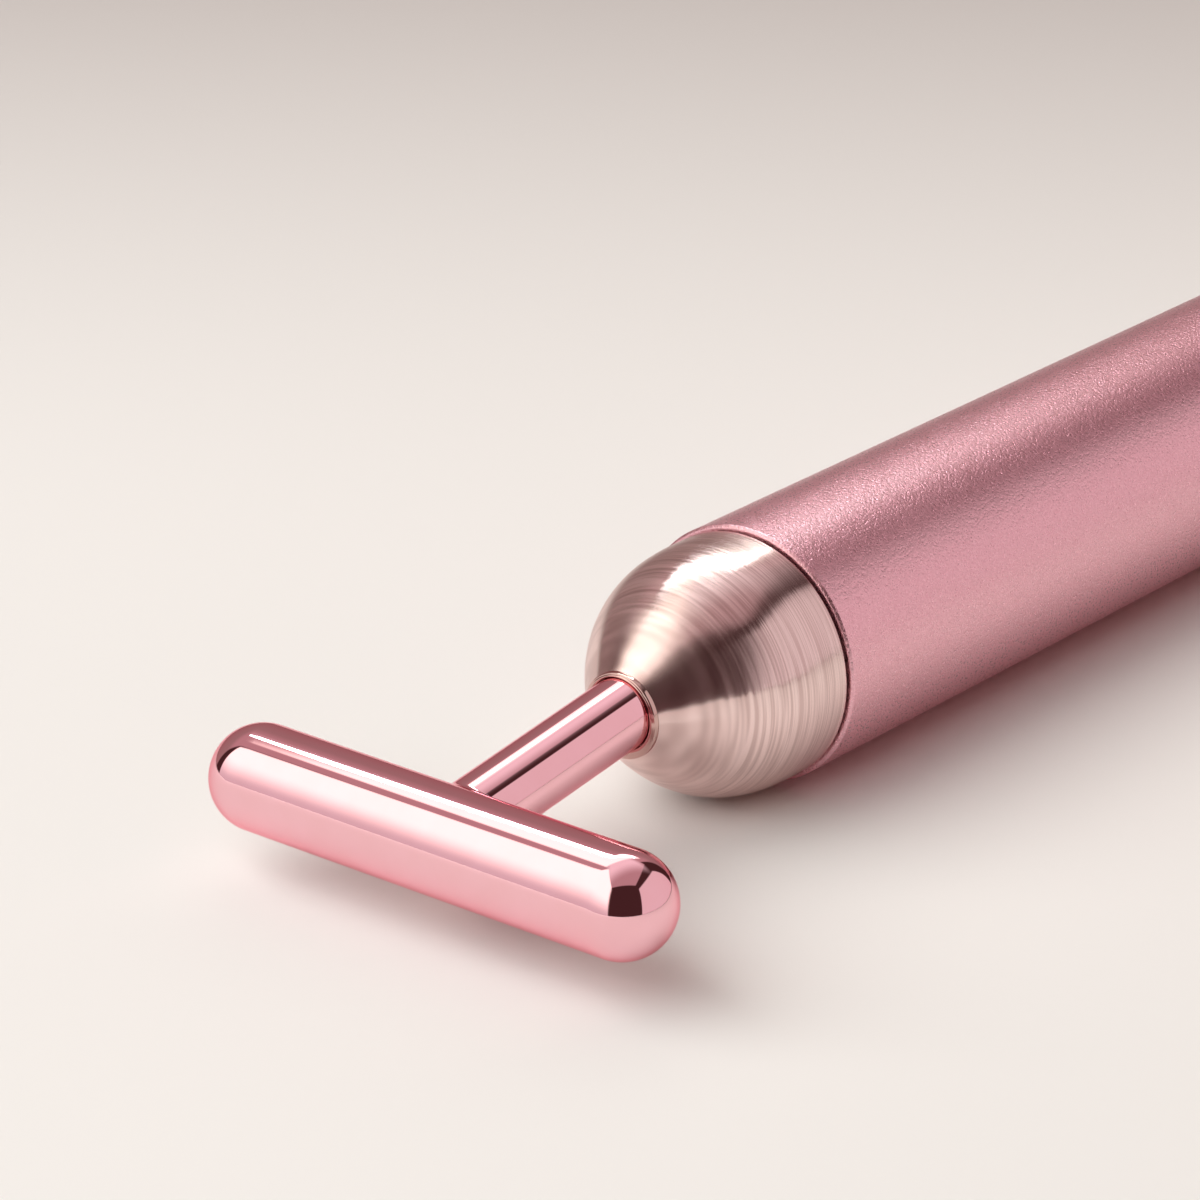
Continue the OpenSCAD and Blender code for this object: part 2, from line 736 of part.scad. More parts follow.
module battery_sleeve() {
    shoulder = cell_front + nub_h - seat_gap;
    color("#e9e6df") on_axis() difference() {
        rod(liner_r, board_back + seat_gap, sleeve_back);
        rod(contact_r + slip_gap, board_back - 1, sleeve_back + 1);
        rod(cell_r + cell_gap, board_back - 1, shoulder - collar_t);
        rod(cell_r + cell_gap, shoulder, sleeve_back + 1);
    }
}

module battery_cell() {
    shoulder = cell_front + nub_h;
    color("#8f9499") on_axis() {
        rod(nub_r, cell_front, shoulder + cell_edge);
        bevelled_rod(cell_r, shoulder, cell_back - cell_edge, cell_edge);
        translate([0, 0, cell_back - cell_edge])
            cylinder(r1 = cell_r, r2 = cell_r - cell_edge, h = cell_edge);
    }
}

module tail_cap() {
    edge = [for (a = [0 : 9 : 90])
        [rim_r - cap_round + cap_round * cos(a), tail_end - cap_round + cap_round * sin(a)]];
    color("#c9aaa4") on_axis() difference() {
        rotate_extrude() polygon(concat([[0, tail_end], [0, shell_front], [rim_r, shell_front]], edge));
        rod(shell_bore_r, shell_front - 1, shell_floor);
        rod(button_hole_r, shell_floor - 1, tail_end + 1);
    }
}

module tail_core() {
    half_groove = (seal_d + groove_play) / 2;
    color("#b9975b") on_axis() difference() {
        union() {
            rod(spigot_r, core_front, shell_front - seat_gap);
            rod(shell_bore_r - seat_gap, barrel_len, core_back);
        }
        rod(core_bore_r, core_front - 1, web_front);
        rod(button_hole_r, web_front - 1, core_back + 1);
        tube(barrel_r, groove_r, seal_place - half_groove, seal_place + half_groove);
    }
}

module tail_seal() {
    color("#26262a") on_axis() seal(bore_r - seat_gap, seal_d, seal_place);
}

module retainer_ring() {
    color("#3b3b40") on_axis() difference() {
        tube(core_bore_r - seat_gap, retainer_bore_r, retainer_front, retainer_front + retainer_t);
        for (side = [0, 180]) rotate(side)
            translate([core_bore_r - notch_depth, -notch_w / 2, retainer_front - 1])
                cube([barrel_r, notch_w, notch_len + 1]);
    }
}

module contact_plate() {
    color("#c9a14a") on_axis() rod(plate_r, housing_front, housing_front + plate_t);
}

module contact_spring() {
    color("#d9b65c") on_axis() coil(coil_r, coil_wire, cell_back, housing_front, coil_turns);
}

module switch_housing() {
    slot = [barrel_r, post_w + 2 * seat_gap, post_w + 2 * seat_gap];
    color("#26262a") on_axis() difference() {
        rod(core_bore_r - seat_gap, housing_front, housing_back);
        rod(plate_r + seat_gap, housing_front - 1, housing_front + plate_t + seat_gap);
        rod(room_r, room_front, room_back);
        rod(plunger_r + run_gap, room_front, housing_back + 1);
        square_rod(-post_x, post_w + 2 * seat_gap, housing_front, room_front + 1);
        translate([post_x, -slot[1] / 2, room_front - seat_gap]) cube(slot);
    }
}

module switch_contacts() {
    reach = sqrt(pow(core_bore_r, 2) - pow(post_w / 2, 2)) - seat_gap;
    color("#c9a14a") on_axis() {
        square_rod(-post_x, post_w, housing_front + plate_t + seat_gap, post_top);
        square_rod(post_x, post_w, room_front, post_top);
        translate([post_x - post_w / 2, -post_w / 2, room_front])
            cube([reach - post_x + post_w / 2, post_w, post_w]);
    }
}

module contact_bridge() {
    color("#c27a3c") on_axis() rod(foot_r, bridge_front, bridge_front + bridge_t);
}

module switch_plunger() {
    color("#f1efe9") on_axis() {
        rod(foot_r, foot_front, foot_back);
        rod(plunger_r, foot_front, flange_front - seat_gap);
    }
}

module return_spring() {
    color("#c8c8cc") on_axis()
        coil(plunger_r + return_past, return_wire, housing_back, flange_front, return_turns);
}

module push_button() {
    skirt_back = button_top - button_crown;
    half_groove = (ring_d + groove_play) / 2;
    face_r = button_r - button_bevel;
    crown_r = (pow(face_r, 2) + pow(button_crown, 2)) / (2 * button_crown);
    color("#e39aa8") on_axis() difference() {
        union() {
            rod(button_r + flange_past, flange_front, flange_back);
            rod(button_r, flange_front, skirt_back - button_bevel);
            translate([0, 0, skirt_back - button_bevel])
                cylinder(r1 = button_r, r2 = face_r, h = button_bevel);
            intersection() {
                translate([0, 0, button_top - crown_r]) sphere(r = crown_r);
                rod(face_r, flange_front, tail_end);
            }
        }
        tube(barrel_r, button_hole_r - 2 * seat_gap - ring_d, ring_place - half_groove,
            ring_place + half_groove);
    }
}

module button_seal() {
    color("#26262a") on_axis() seal(button_hole_r - seat_gap, ring_d, ring_place);
}

massage_bar();
neck_stem();
head_stud();
neck_washer();
neck_socket();
nose_dome();
nose_gasket();
nose_coupler();
barrel();
motor_cradle();
motor_can();
motor_magnets();
front_bearing();
rear_bearing();
motor_end_cap();
motor_terminals();
motor_brushes();
motor_shaft();
armature_core();
armature_windings();
commutator();
eccentric_weight();
positive_lead();
negative_lead();
contact_board();
contact_rim();
positive_contact();
battery_sleeve();
battery_cell();
tail_cap();
tail_core();
tail_seal();
retainer_ring();
contact_plate();
contact_spring();
switch_housing();
switch_contacts();
contact_bridge();
switch_plunger();
return_spring();
push_button();
button_seal();
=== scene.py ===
# %% [markdown]
# # A vibrating facial massager in rose metal
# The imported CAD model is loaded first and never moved. Its visible shells are then dressed with
# finer surfaces, and every piece, inside and outside, gets the finish that it has on a real one.

# %% Load the frame
import json
from math import cos, pi, radians, sin

import bpy
import numpy as np
from mathutils import Matrix, Vector


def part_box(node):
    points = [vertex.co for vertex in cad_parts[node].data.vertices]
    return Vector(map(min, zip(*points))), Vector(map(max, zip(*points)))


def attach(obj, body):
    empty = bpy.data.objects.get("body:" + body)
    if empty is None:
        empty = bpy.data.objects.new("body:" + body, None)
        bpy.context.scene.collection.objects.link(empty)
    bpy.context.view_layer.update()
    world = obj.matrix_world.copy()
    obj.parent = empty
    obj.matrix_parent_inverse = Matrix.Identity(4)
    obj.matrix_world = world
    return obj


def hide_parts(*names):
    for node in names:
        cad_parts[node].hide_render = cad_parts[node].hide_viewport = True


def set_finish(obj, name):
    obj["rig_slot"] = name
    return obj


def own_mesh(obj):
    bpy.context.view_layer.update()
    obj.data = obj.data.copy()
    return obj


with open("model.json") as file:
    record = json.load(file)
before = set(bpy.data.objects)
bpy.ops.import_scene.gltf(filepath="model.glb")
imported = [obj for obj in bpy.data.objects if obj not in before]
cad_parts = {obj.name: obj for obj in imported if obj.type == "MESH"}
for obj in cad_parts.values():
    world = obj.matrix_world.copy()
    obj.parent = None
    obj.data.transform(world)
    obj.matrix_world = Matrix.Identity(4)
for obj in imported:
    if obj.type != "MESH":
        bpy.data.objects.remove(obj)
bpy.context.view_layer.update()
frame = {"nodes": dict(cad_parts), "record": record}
MM = 0.001                             # one millimetre, in metres

# %% [markdown]
# ## Where things are
# Makers give such a product's sizes from its own axes, so this script does the same. A place is
# a distance in millimetres along the barrel's axis, from the barrel's front end towards the
# tail. The neck has an axis of its own, tilted down towards the bar, and a reach is a distance
# along it. World coordinates would do too, but every size of the neck would then hide a sine.

# %% Axes of the barrel and of the neck
barrel_low, barrel_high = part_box("barrel")
AXIS_X = barrel_low.x                  # where the barrel's front end is, in metres
AXIS_Z = (barrel_low.z + barrel_high.z) / 2            # how high its axis lies, in metres
BARREL_LEN = (barrel_high.x - barrel_low.x) / MM
BARREL_R = (barrel_high.z - barrel_low.z) / 2 / MM
NECK_TILT = radians(7.8)
NECK_CROSS = -16.2                     # the place where the neck's axis crosses the barrel's
TOWARDS_BAR = np.array([-cos(NECK_TILT), 0, -sin(NECK_TILT)])
NECK_UP = np.array([-sin(NECK_TILT), 0, cos(NECK_TILT)])
SIDE = np.array([0.0, 1.0, 0.0])


def on_axis(place, y=0.0, z=0.0):
    """Metres in the row frame, from a place and two offsets from the barrel's axis in mm."""
    place, y, z = np.broadcast_arrays(place, y, z)
    return np.stack([AXIS_X + place * MM, y * MM, AXIS_Z + z * MM], axis=-1)


def on_neck(reach, radius, angle):
    """A point at a reach along the neck's axis and a radius round it, at an angle from its
    upper side: crossing + reach * axis + radius * (cos(angle) * up + sin(angle) * side)."""
    reach, radius, angle = (np.asarray(v, float)[..., None] for v in (reach, radius, angle))
    out = radius * (np.cos(angle) * NECK_UP + np.sin(angle) * SIDE)
    return on_axis(NECK_CROSS) + (reach * TOWARDS_BAR + out) * MM


print("Barrel: radius %.2f mm, length %.1f mm" % (BARREL_R, BARREL_LEN))

# %% [markdown]
# ## The camera
# A product photographer stands well back and uses a long lens, so that round things keep their
# shape. The lens and place here come from lines in the photograph: the barrel's two edges, the
# rim of the nose and the ends of the bar all fall where this camera draws them. A camera without
# perspective would be simpler, but the lines that run away from the eye would not close in.

# %% Camera
LENS, FILM_WIDTH = 166.04, 36.0        # in millimetres, as on a real camera
NEAREST, FURTHEST = 0.05, 20.0         # what the camera can see, in metres
CAMERA_PLACE = (AXIS_X - 0.29995, -0.23074, AXIS_Z + 0.1608)
LOOK = Vector((0.7161, 0.5841, -0.3822)).normalized()  # the way that the camera faces
CAMERA_RIGHT = LOOK.cross(Vector((0, 0, 1))).normalized()
camera_up = CAMERA_RIGHT.cross(LOOK)
camera = bpy.data.objects.new("camera", bpy.data.cameras.new("camera"))
bpy.context.scene.collection.objects.link(camera)
bpy.context.scene.camera = camera
camera.data.lens, camera.data.sensor_width = LENS, FILM_WIDTH
camera.data.clip_start, camera.data.clip_end = NEAREST, FURTHEST
camera_turn = Matrix((CAMERA_RIGHT, camera_up, -LOOK)).transposed().to_4x4()
camera.matrix_world = Matrix.Translation(CAMERA_PLACE) @ camera_turn
bpy.context.scene.view_settings.view_transform = "Standard"
print("Camera at", tuple(round(v, 4) for v in camera.matrix_world.translation))

# %% [markdown]
# ## Two small tools for materials
# Paint and plating are given as sRGB hex colours, but light adds up in linear numbers,
# so one function turns the first into the second. Nodes could be placed by hand in the shader
# editor. In a script, one function that adds a node, sets it and links it is easier to follow.

# %% Colour and node tools
def linear(colour):
    """Linear RGBA of an sRGB hex colour: ((c + 0.055) / 1.055) ^ 2.4 above the small toe."""
    c = np.array([int(colour[i : i + 2], 16) / 255 for i in (1, 3, 5)])
    low, high = c / 12.92, ((c + 0.055) / 1.055) ** 2.4
    return (*np.where(c <= 0.04045, low, high).tolist(), 1.0)


def add(tree, kind, inputs=None, **settings):
    """Adds a shader node. Inputs maps a socket to a value or to the output that feeds it."""
    node = tree.nodes.new("ShaderNode" + kind)
    for key, value in settings.items():
        setattr(node, key, value)
    for key, value in (inputs or {}).items():
        in_use = {s.name: s for s in reversed(node.inputs) if s.enabled}
        socket = node.inputs[key] if isinstance(key, int) else in_use[key]
        if isinstance(value, bpy.types.NodeSocket):
            tree.links.new(value, socket)
        else:
            socket.default_value = value
    return node


def result(node):
    """The output of a node that is in use."""
    return next(s for s in node.outputs if s.enabled)


print("Check of the colour tool:", [round(v, 3) for v in linear("#f9c3cc")])

# %% [markdown]
# ## The studio
# Polished metal shows the room around it, so the room has to be built. Here the sky is a dark
# studio with walls, reflectors and soft lights in it. Each one is a polygon of directions, with
# a soft edge, because a softbox glows less towards its rim. Glowing planes could stand round the
# object instead, but they would show in other views and cast light of their own. Directions are
# given from the camera's heading: an angle to the right, and an angle above the horizon.

# %% Studio lights in the sky
heading = Vector((LOOK.x, LOOK.y, 0)).normalized()
world = bpy.data.worlds.new("studio")
bpy.context.scene.world = world
world.use_nodes = True
sky = world.node_tree
sky.nodes.clear()
direction = add(sky, "TexCoord").outputs["Generated"]


def towards(right, above):
    """The direction at an angle to the right of the heading and an angle above the horizon."""
    a, e = radians(right), radians(above)
    level = heading * cos(a) + CAMERA_RIGHT * sin(a)
    return level * cos(e) + Vector((0, 0, sin(e)))


def light_shape(corners, softness):
    """1 inside a polygon of directions and 0 outside. Two corners and the eye span a plane;
    the side of it that a direction is on is a dot product, smoothed over softness."""
    inside = None
    for k, corner in enumerate(corners):
        edge = towards(*corner).cross(towards(*corners[(k + 1) % len(corners)])).normalized()
        soft = softness[k] if isinstance(softness, tuple) else softness
        side = add(sky, "VectorMath", {0: direction, 1: edge}, operation="DOT_PRODUCT")
        smooth = add(sky, "MapRange", {"Value": side.outputs["Value"], "From Min": -soft,
            "From Max": soft}, interpolation_type="SMOOTHSTEP")
        value = smooth.outputs["Result"]
        if inside is not None:
            value = add(sky, "Math", {0: inside, 1: value}, operation="MULTIPLY").outputs[0]
        inside = value
    return inside


# A name, corners that run clockwise as seen from inside the studio, the softness of every edge
# or of each one, and a linear glow, where 1 is paper white. A later one lies over the earlier.
LIGHTS = [
    ("back wall", [(-58, -2), (-58, 46), (34, 46), (34, -2)], 0.03, (0.36, 0.26, 0.25)),
    ("back wall top", [(-58, 28), (-67, 57), (36, 57), (34, 28)], (0.03, 0.03, 0.03, 0.14),
        (0.52, 0.34, 0.35)),
    ("right reflector", [(46, -2), (47, 12), (56, 36), (129.5, 46.5), (139, 15), (141, -2)], 0.02,
        (0.82, 0.70, 0.70)),
    ("ceiling", [(132.5, 55), (42, 43.5), (-30, 55), (-120, 50), (-146, 53.5)], 0.02,
        (0.50, 0.34, 0.35)),
    ("ceiling light", [(52, 46), (-20, 44), (-118, 63)], (0.10, 0.10, 0.25),
        (1.00, 0.90, 0.91)),
    ("foot of the left softbox", [(-153, -2), (-145.5, 53.5), (-60, 66.5), (-61, 60), (-76, -2)],
        0.02, (0.76, 0.69, 0.70)),
    ("left softbox", [(-151, 16), (-145.5, 53.5), (-60, 66.5), (-61, 60), (-74, 16)],
        (0.06, 0.02, 0.02, 0.02, 0.30), (1.78, 1.74, 1.56)),
    ("back softbox", [(-49.7, 59.2), (-8, 62), (25.6, 41.4), (25, 38), (-3, 38.5), (-23, 47),
        (-46, 51)], (0.04, 0.04, 0.04, 0.02, 0.02, 0.02, 0.03), (1.78, 1.74, 1.56)),
]
room = (0.060, 0.026, 0.026, 1.0)      # the unlit walls, and then each light over them
for title, corners, softness, glow in LIGHTS:
    room = result(add(sky, "Mix", {"Factor": light_shape(corners, softness), "A": room,
        "B": (*glow, 1.0)}, data_type="RGBA"))
    print("Studio:", title)

# %% [markdown]
# ### What the camera sees behind the floor
# In a low view the floor ends before the horizon. Real sweeps are curved up there, and a curved
# sheet could be built, but it would stand in the way of views from behind. So the camera alone
# sees a plain pale tone in the sky, and shiny surfaces still see the studio.

# %% Backdrop
sees = add(sky, "LightPath").outputs["Is Camera Ray"]
shown = add(sky, "Mix", {"Factor": sees, "A": room, "B": linear("#d9cfca")}, data_type="RGBA")
backdrop = add(sky, "Background", {"Color": result(shown), "Strength": 1.0})
add(sky, "OutputWorld", {"Surface": backdrop.outputs["Background"]})
print("The sky has %d nodes" % len(sky.nodes))

# %% [markdown]
# ### Lamps for matt things, and a strip for shiny ones
# Photographers light the table and the metal apart, with flags and cards. Here the sky is seen
# by shiny surfaces only, and wide lamps that do not show in the metal light everything matt.
# The widest lamp stands at the left, behind the camera, so the shadows fall to the right and
# are soft. The others fill the shadows with a warmer light, as pale pink walls would. A strip
# light hangs close to the model for the shiny surfaces, so its gleam on the barrel fades
# towards the tail. One set of lights for everything would be simpler, but then the bright
# bands in the metal could not be moved without moving the shadows.

# %% Lamps
world.cycles_visibility.diffuse = False
ROOM_FAR, CLOSE = 1.4, 0.30            # how far off a lamp hangs, in metres


def lamp(name, right, above, size, watts, tint, far=ROOM_FAR, matt=True):
    """A rectangular lamp at a direction and distance from the barrel's front end, facing it,
    with its long side level. Matt says whether it lights matt surfaces or shiny ones."""
    away = towards(right, above)
    level = away.cross(Vector((0, 0, 1))).normalized()
    light = bpy.data.objects.new(name, bpy.data.lights.new(name, "AREA"))
    light.data.shape = "RECTANGLE"
    light.data.size, light.data.size_y = size
    light.data.energy = watts
    light.data.color = tint
    light.visible_diffuse, light.visible_glossy = matt, not matt
    light.matrix_world = Matrix.Translation(Vector((AXIS_X, 0, AXIS_Z)) + far * away) @ Matrix(
        (level, away.cross(level), away)).transposed().to_4x4()
    bpy.context.scene.collection.objects.link(light)
    print("%s: %g W, %g m away" % (name, watts, far))


KEY_WHITE, FILL_WHITE = (1.0, 0.99, 0.979), (0.96, 0.80, 0.76)
# A name, degrees to the right, degrees above the horizon, metres across and high, watts, tint
lamp("key_light", -118, 45, (2.6, 1.3), 31.9, KEY_WHITE)
lamp("top_light", -30, 64, (1.5, 1.5), 6.6, FILL_WHITE)
lamp("back_light", 20, 35, (1.4, 0.8), 3.0, FILL_WHITE)
lamp("wall_bounce", 110, 30, (1.4, 0.8), 2.0, (1.0, 0.45, 0.40))
lamp("strip_light", -9, 51, (0.22, 0.032), 0.20, (0.82, 1.0, 1.0), far=CLOSE, matt=False)

# %% [markdown]
# ## The floor
# The table is a matt, warm white sheet. Towards the back it turns greyer and a little pinker, as
# a paper sweep does where the light falls off. The lamps could be turned to do that, but they
# would change the object too, so that falloff is painted shade: the sheet's colour is painted
# darker with the distance along the camera's heading. It is a plain diffuse surface, so it keeps
# the shadows.

# %% Floor
def new_material(name):
    """An empty material: returns it and its node tree."""
    material = bpy.data.materials.new(name)
    material.use_nodes = True
    material.node_tree.nodes.clear()
    return material, material.node_tree


FLOOR_R, FLOOR_SIDES = 3.0, 96
# Painted shade: between these distances the floor's colour is painted darker, for light falling
# off
PAINTED_FALLOFF_FROM, PAINTED_FALLOFF_TO = 0.01, 0.30        # metres along the heading
ring = np.linspace(0, 2 * pi, FLOOR_SIDES, endpoint=False)
floor_points = np.stack([FLOOR_R * np.cos(ring), FLOOR_R * np.sin(ring), 0 * ring], axis=-1)
floor_mesh = bpy.data.meshes.new("floor")
floor_mesh.from_pydata(floor_points.tolist(), [], [list(range(FLOOR_SIDES))])
floor = bpy.data.objects.new("floor", floor_mesh)
bpy.context.scene.collection.objects.link(floor)

paper, tree = new_material("matt_paper_with_painted_falloff")
where = add(tree, "TexCoord").outputs["Object"]
depth = add(tree, "VectorMath", {0: where, 1: heading}, operation="DOT_PRODUCT")
painted_falloff = add(tree, "MapRange", {"Value": depth.outputs["Value"], "From Min": PAINTED_FALLOFF_FROM,
    "From Max": PAINTED_FALLOFF_TO}, interpolation_type="SMOOTHSTEP")
# Painted shade: the far colour stands in for the light falling off at the back
tone = add(tree, "Mix", {"Factor": painted_falloff.outputs["Result"], "A": linear("#eff0ec"),
    "B": linear("#b0a9a5")}, data_type="RGBA")
matt = add(tree, "BsdfDiffuse", {"Color": result(tone), "Roughness": 0.0})
add(tree, "OutputMaterial", {"Surface": matt.outputs["BSDF"]})
floor_mesh.materials.append(paper)
print("Floor radius in m:", FLOOR_R)

# %% [markdown]
# ## Surfaces on a grid
# Nearly every piece here is turned or drawn, so its surface is a grid: rows follow the outline,
# and columns go round. Blender's Screw modifier can turn an outline too, but a grid of numbers
# also takes rows that tilt and slide, as the neck's socket needs. One function joins a grid into
# a closed mesh, and another turns an outline of places and radii about the barrel's axis, as a
# lathe does.

# %% Grid tools
MIDDLE_R = 0.5                         # the ring from which a turned end is shut, in mm


def close_grid(name, grid, body, slot, replaced, sharp=35, ring_shut=False):
    """A closed mesh from a grid of points (rows, columns, 3) whose columns go all the way round.
    A face joins the points (i, j), (i, j + 1), (i + 1, j + 1) and (i + 1, j), and the end rows
    are shut with a fan to their middle, or joined to each other for a ring. The mesh's volume
    is the sum of a . (b x c) / 6 over its triangles, and where that is negative, the faces
    point inwards and are turned over. Edges bent by more than sharp degrees stay crisp."""
    rows, columns = grid.shape[:2]
    points = grid.reshape(-1, 3)
    i, j = np.meshgrid(np.arange(rows if ring_shut else rows - 1), np.arange(columns),
        indexing="ij")
    a, b = i * columns + j, i * columns + (j + 1) % columns
    below = ((i + 1) % rows) * columns
    quads = np.stack([a, b, below + (j + 1) % columns, below + j], axis=-1).reshape(-1, 4)
    faces = quads.tolist()
    triangles = np.concatenate([quads[:, [0, 1, 2]], quads[:, [0, 2, 3]]])
    if not ring_shut:
        k = np.arange(columns)
        n = len(points)
        points = np.concatenate([points, grid[[0, -1]].mean(axis=1)])
        first = np.stack([(k + 1) % columns, k, 0 * k + n], axis=-1)
        last_row = (rows - 1) * columns
        last = np.stack([last_row + k, last_row + (k + 1) % columns, 0 * k + n + 1], axis=-1)
        faces += first.tolist() + last.tolist()
        triangles = np.concatenate([triangles, first, last])
    corner = points[triangles]
    volume = (corner[:, 0] * np.cross(corner[:, 1], corner[:, 2])).sum() / 6
    if volume < 0:
        faces = [face[::-1] for face in faces]
    mesh = bpy.data.meshes.new(name)
    mesh.from_pydata(points.tolist(), [], faces)
    mesh.validate()
    mesh.polygons.foreach_set("use_smooth", np.ones(len(mesh.polygons), bool))
    mesh.set_sharp_from_angle(angle=radians(sharp))
    piece = bpy.data.objects.new(name, mesh)
    bpy.context.scene.collection.objects.link(piece)
    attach(piece, body)
    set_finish(piece, slot)
    if replaced:
        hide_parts(*replaced)
    print("%s: %d faces, %.0f mm3" % (name, len(mesh.polygons), abs(volume) / MM**3))
    return piece


def turned(outline, columns=192):
    """The grid that an outline of (place, radius) in mm makes when it turns about the barrel's
    axis: y = radius * sin(angle), z = radius * cos(angle)."""
    angle = np.linspace(0, 2 * pi, columns, endpoint=False)
    place, radius = np.asarray(outline, float).T[:, :, None]
    return on_axis(place, radius * np.sin(angle), radius * np.cos(angle))


def arc(place, radius, bend, start, end, steps):
    """Points on a round edge of an outline: centre + bend * (sin(angle), cos(angle))."""
    angle = np.radians(np.linspace(start, end, steps))
    return np.stack([place + bend * np.sin(angle), radius + bend * np.cos(angle)], axis=-1)


def fine(start, end, steps):
    """A straight run of an outline, cut into steps so that no face is a long sliver:
    start * (1 - t) + end * t."""
    t = np.linspace(0, 1, steps)[:, None]
    return np.asarray(start, float) * (1 - t) + np.asarray(end, float) * t


print("One turn has %d columns" % turned([(0, 1)]).shape[1])

# %% [markdown]
# ## The massage bar
# The bar is a solid rod with round ends, turned, polished and plated until it mirrors the room.
# It could be a cylinder with a ball at each end, but a mirror shows such joins. So its surface
# is one profile of distance along the bar and radius, carried round the bar's axis, which lies
# across the barrel.

# %% Massage bar
BAR_R = 4.0
BAR_HALF = 20.5                        # half of its whole length
NECK_REACH = 18.9                      # the reach of the bar's axis
TURN = np.linspace(0, 2 * pi, 192, endpoint=False)     # the angles of the columns in one turn
BAR_X, _, BAR_Z = on_axis(NECK_CROSS) + NECK_REACH * MM * TOWARDS_BAR


def capsule_outline(end_steps=40, middle_steps=48):
    """(distance, radius) along a rod whose ends are half circles of its own radius:
    -straight - R * cos(angle), R * sin(angle), then a straight run, then the same mirrored."""
    half = np.linspace(0, pi / 2, end_steps)
    straight = BAR_HALF - BAR_R
    start = np.stack([-straight - BAR_R * np.cos(half), BAR_R * np.sin(half)], axis=-1)
    middle = fine((-straight, BAR_R), (straight, BAR_R), middle_steps)
    end = start[::-1] * (-1, 1)
    return np.concatenate([start[1:], middle[1:-1], end[:-1]])


along_bar, bar_radius = capsule_outline().T[:, :, None]
bar_grid = np.stack([BAR_X + bar_radius * MM * np.cos(TURN), along_bar * MM + 0 * TURN,
    BAR_Z + bar_radius * MM * np.sin(TURN)], axis=-1)
massage_bar = close_grid("massage_bar_surface", bar_grid, "head", "plated_rose",
    ["massage_bar"])

# %% [markdown]
# ## The neck
# The neck is a plain drawn rod between the socket and the bar, plated with the bar. A cylinder
# would look the same from afar, but this one starts with the small bevel of its foot, and it
# runs on into the bar, so that no gap can open where the two meet.

# %% Neck
NECK_R = 2.72
NECK_FOOT = -2.2626                    # the reach of its foot, behind the crossing of the axes
NECK_BEVEL = 0.15
NECK_TIP = NECK_REACH - 1.0            # inside the bar, a millimetre short of its axis
neck_outline = np.concatenate([        # the flat of the foot, its bevel and the long side
    [(NECK_FOOT, NECK_R - NECK_BEVEL - 0.4), (NECK_FOOT, NECK_R - NECK_BEVEL)],
    fine((NECK_FOOT + NECK_BEVEL, NECK_R), (NECK_TIP, NECK_R), 40),
])
neck_grid = on_neck(neck_outline[:, :1], neck_outline[:, 1:], TURN)
neck = close_grid("neck_surface", neck_grid, "head", "plated_rose", ["neck_stem"])

# %% [markdown]
# ## The brazed joint
# The neck is brazed into the bar. Braze metal creeps into the corner and leaves a small hollow
# fillet. A Bevel modifier cannot round a corner between two pieces, so the fillet is a surface
# of its own: at each angle round the neck it follows a curve that leaves the neck along its
# side and meets the bar along its skin. Its back is tucked into both of them, out of sight.

# %% Brazed fillet
FILLET = 0.45                          # how far it runs up the neck and out over the bar
INTO_BAR, INTO_NECK = 0.6, 0.3         # how deep its hidden back lies


def bar_skin_reach(radius):
    """How far along the neck's axis the bar's skin is met at a radius round the neck:
    reach - sqrt(bar radius^2 - height^2), where height is measured across the bar."""
    height = radius * np.cos(TURN)
    return (NECK_REACH - np.sqrt(BAR_R**2 - height**2))[None]


def hollow(start, corner, end):
    """A curve that starts towards a corner and ends coming from it, at every angle of a turn:
    (1 - t)^2 * start + 2t(1 - t) * corner + t^2 * end."""
    t = np.linspace(0, 1, 14)[:, None]
    return (1 - t) ** 2 * start + 2 * t * (1 - t) * corner + t**2 * end + 0 * TURN


outer_r = NECK_R + FILLET
corner_reach, outer_reach = bar_skin_reach(NECK_R), bar_skin_reach(outer_r)
back_radius = NECK_R - INTO_NECK + 0 * outer_reach
reach_rows = np.concatenate([hollow(corner_reach - FILLET, corner_reach, outer_reach),
    outer_reach + INTO_BAR, corner_reach - FILLET])
radius_rows = np.concatenate([hollow(NECK_R, NECK_R, outer_r), back_radius, back_radius])
fillet = close_grid("brazed_fillet", on_neck(reach_rows, radius_rows, TURN), "head",
    "plated_rose", [], sharp=60, ring_shut=True)

# %% [markdown]
# ## The socket and its lip
# The neck screws into a socket in the nose. The nose's tip is flat and square to the barrel, but
# the neck leans, so the socket's polished lip is a ring with a leaning hole: narrow above the
# neck and wide below it. A Boolean cut would make it too, with ragged shading at the edges. Here
# its rows are circles round the neck's axis, slid along that axis until they meet the tip's
# plane, and then circles round the barrel's axis, so the shading stays smooth.

# %% Socket and lip
LIP_R = 3.314
LIP_FRONT, LIP_BACK = -14.85, -14.42
LIP_ROUND = 0.14                       # the radius of its outer corner
LIP_CROWN = 0.08                       # how far its face swells
HOLE_R = 2.75                          # the hole that the neck stands in
MOUTH_DEEP, MOUTH_WIDE = 0.08, 0.03    # the broken edge of that hole
CUP_R = 2.90                           # the socket's body, inside the nose
STUD_BORE_R = 2.08
PIN_R = 0.6                            # the small ring that shuts each end
WASHER_SEAT = NECK_FOOT - 0.25         # reaches: of the seat of the neck's washer,
BORE_FLOOR, CUP_END = -7.0126, -7.6126 # of the bore's floor and of the body's end


def slid_to_plane(radius, place):
    """A circle round the neck's axis, slid along it onto the plane at a place:
    the slide is the plane's distance over the axis's share along the barrel."""
    circle = on_neck(0, radius, TURN)
    slide = (on_axis(place)[0] - circle[:, :1]) / TOWARDS_BAR[0]
    return circle + slide * TOWARDS_BAR


def round_barrel(place, radius):
    """A circle round the barrel's axis: y = radius * sin(angle), z = radius * cos(angle)."""
    return on_axis(place, radius * np.sin(TURN), radius * np.cos(TURN))


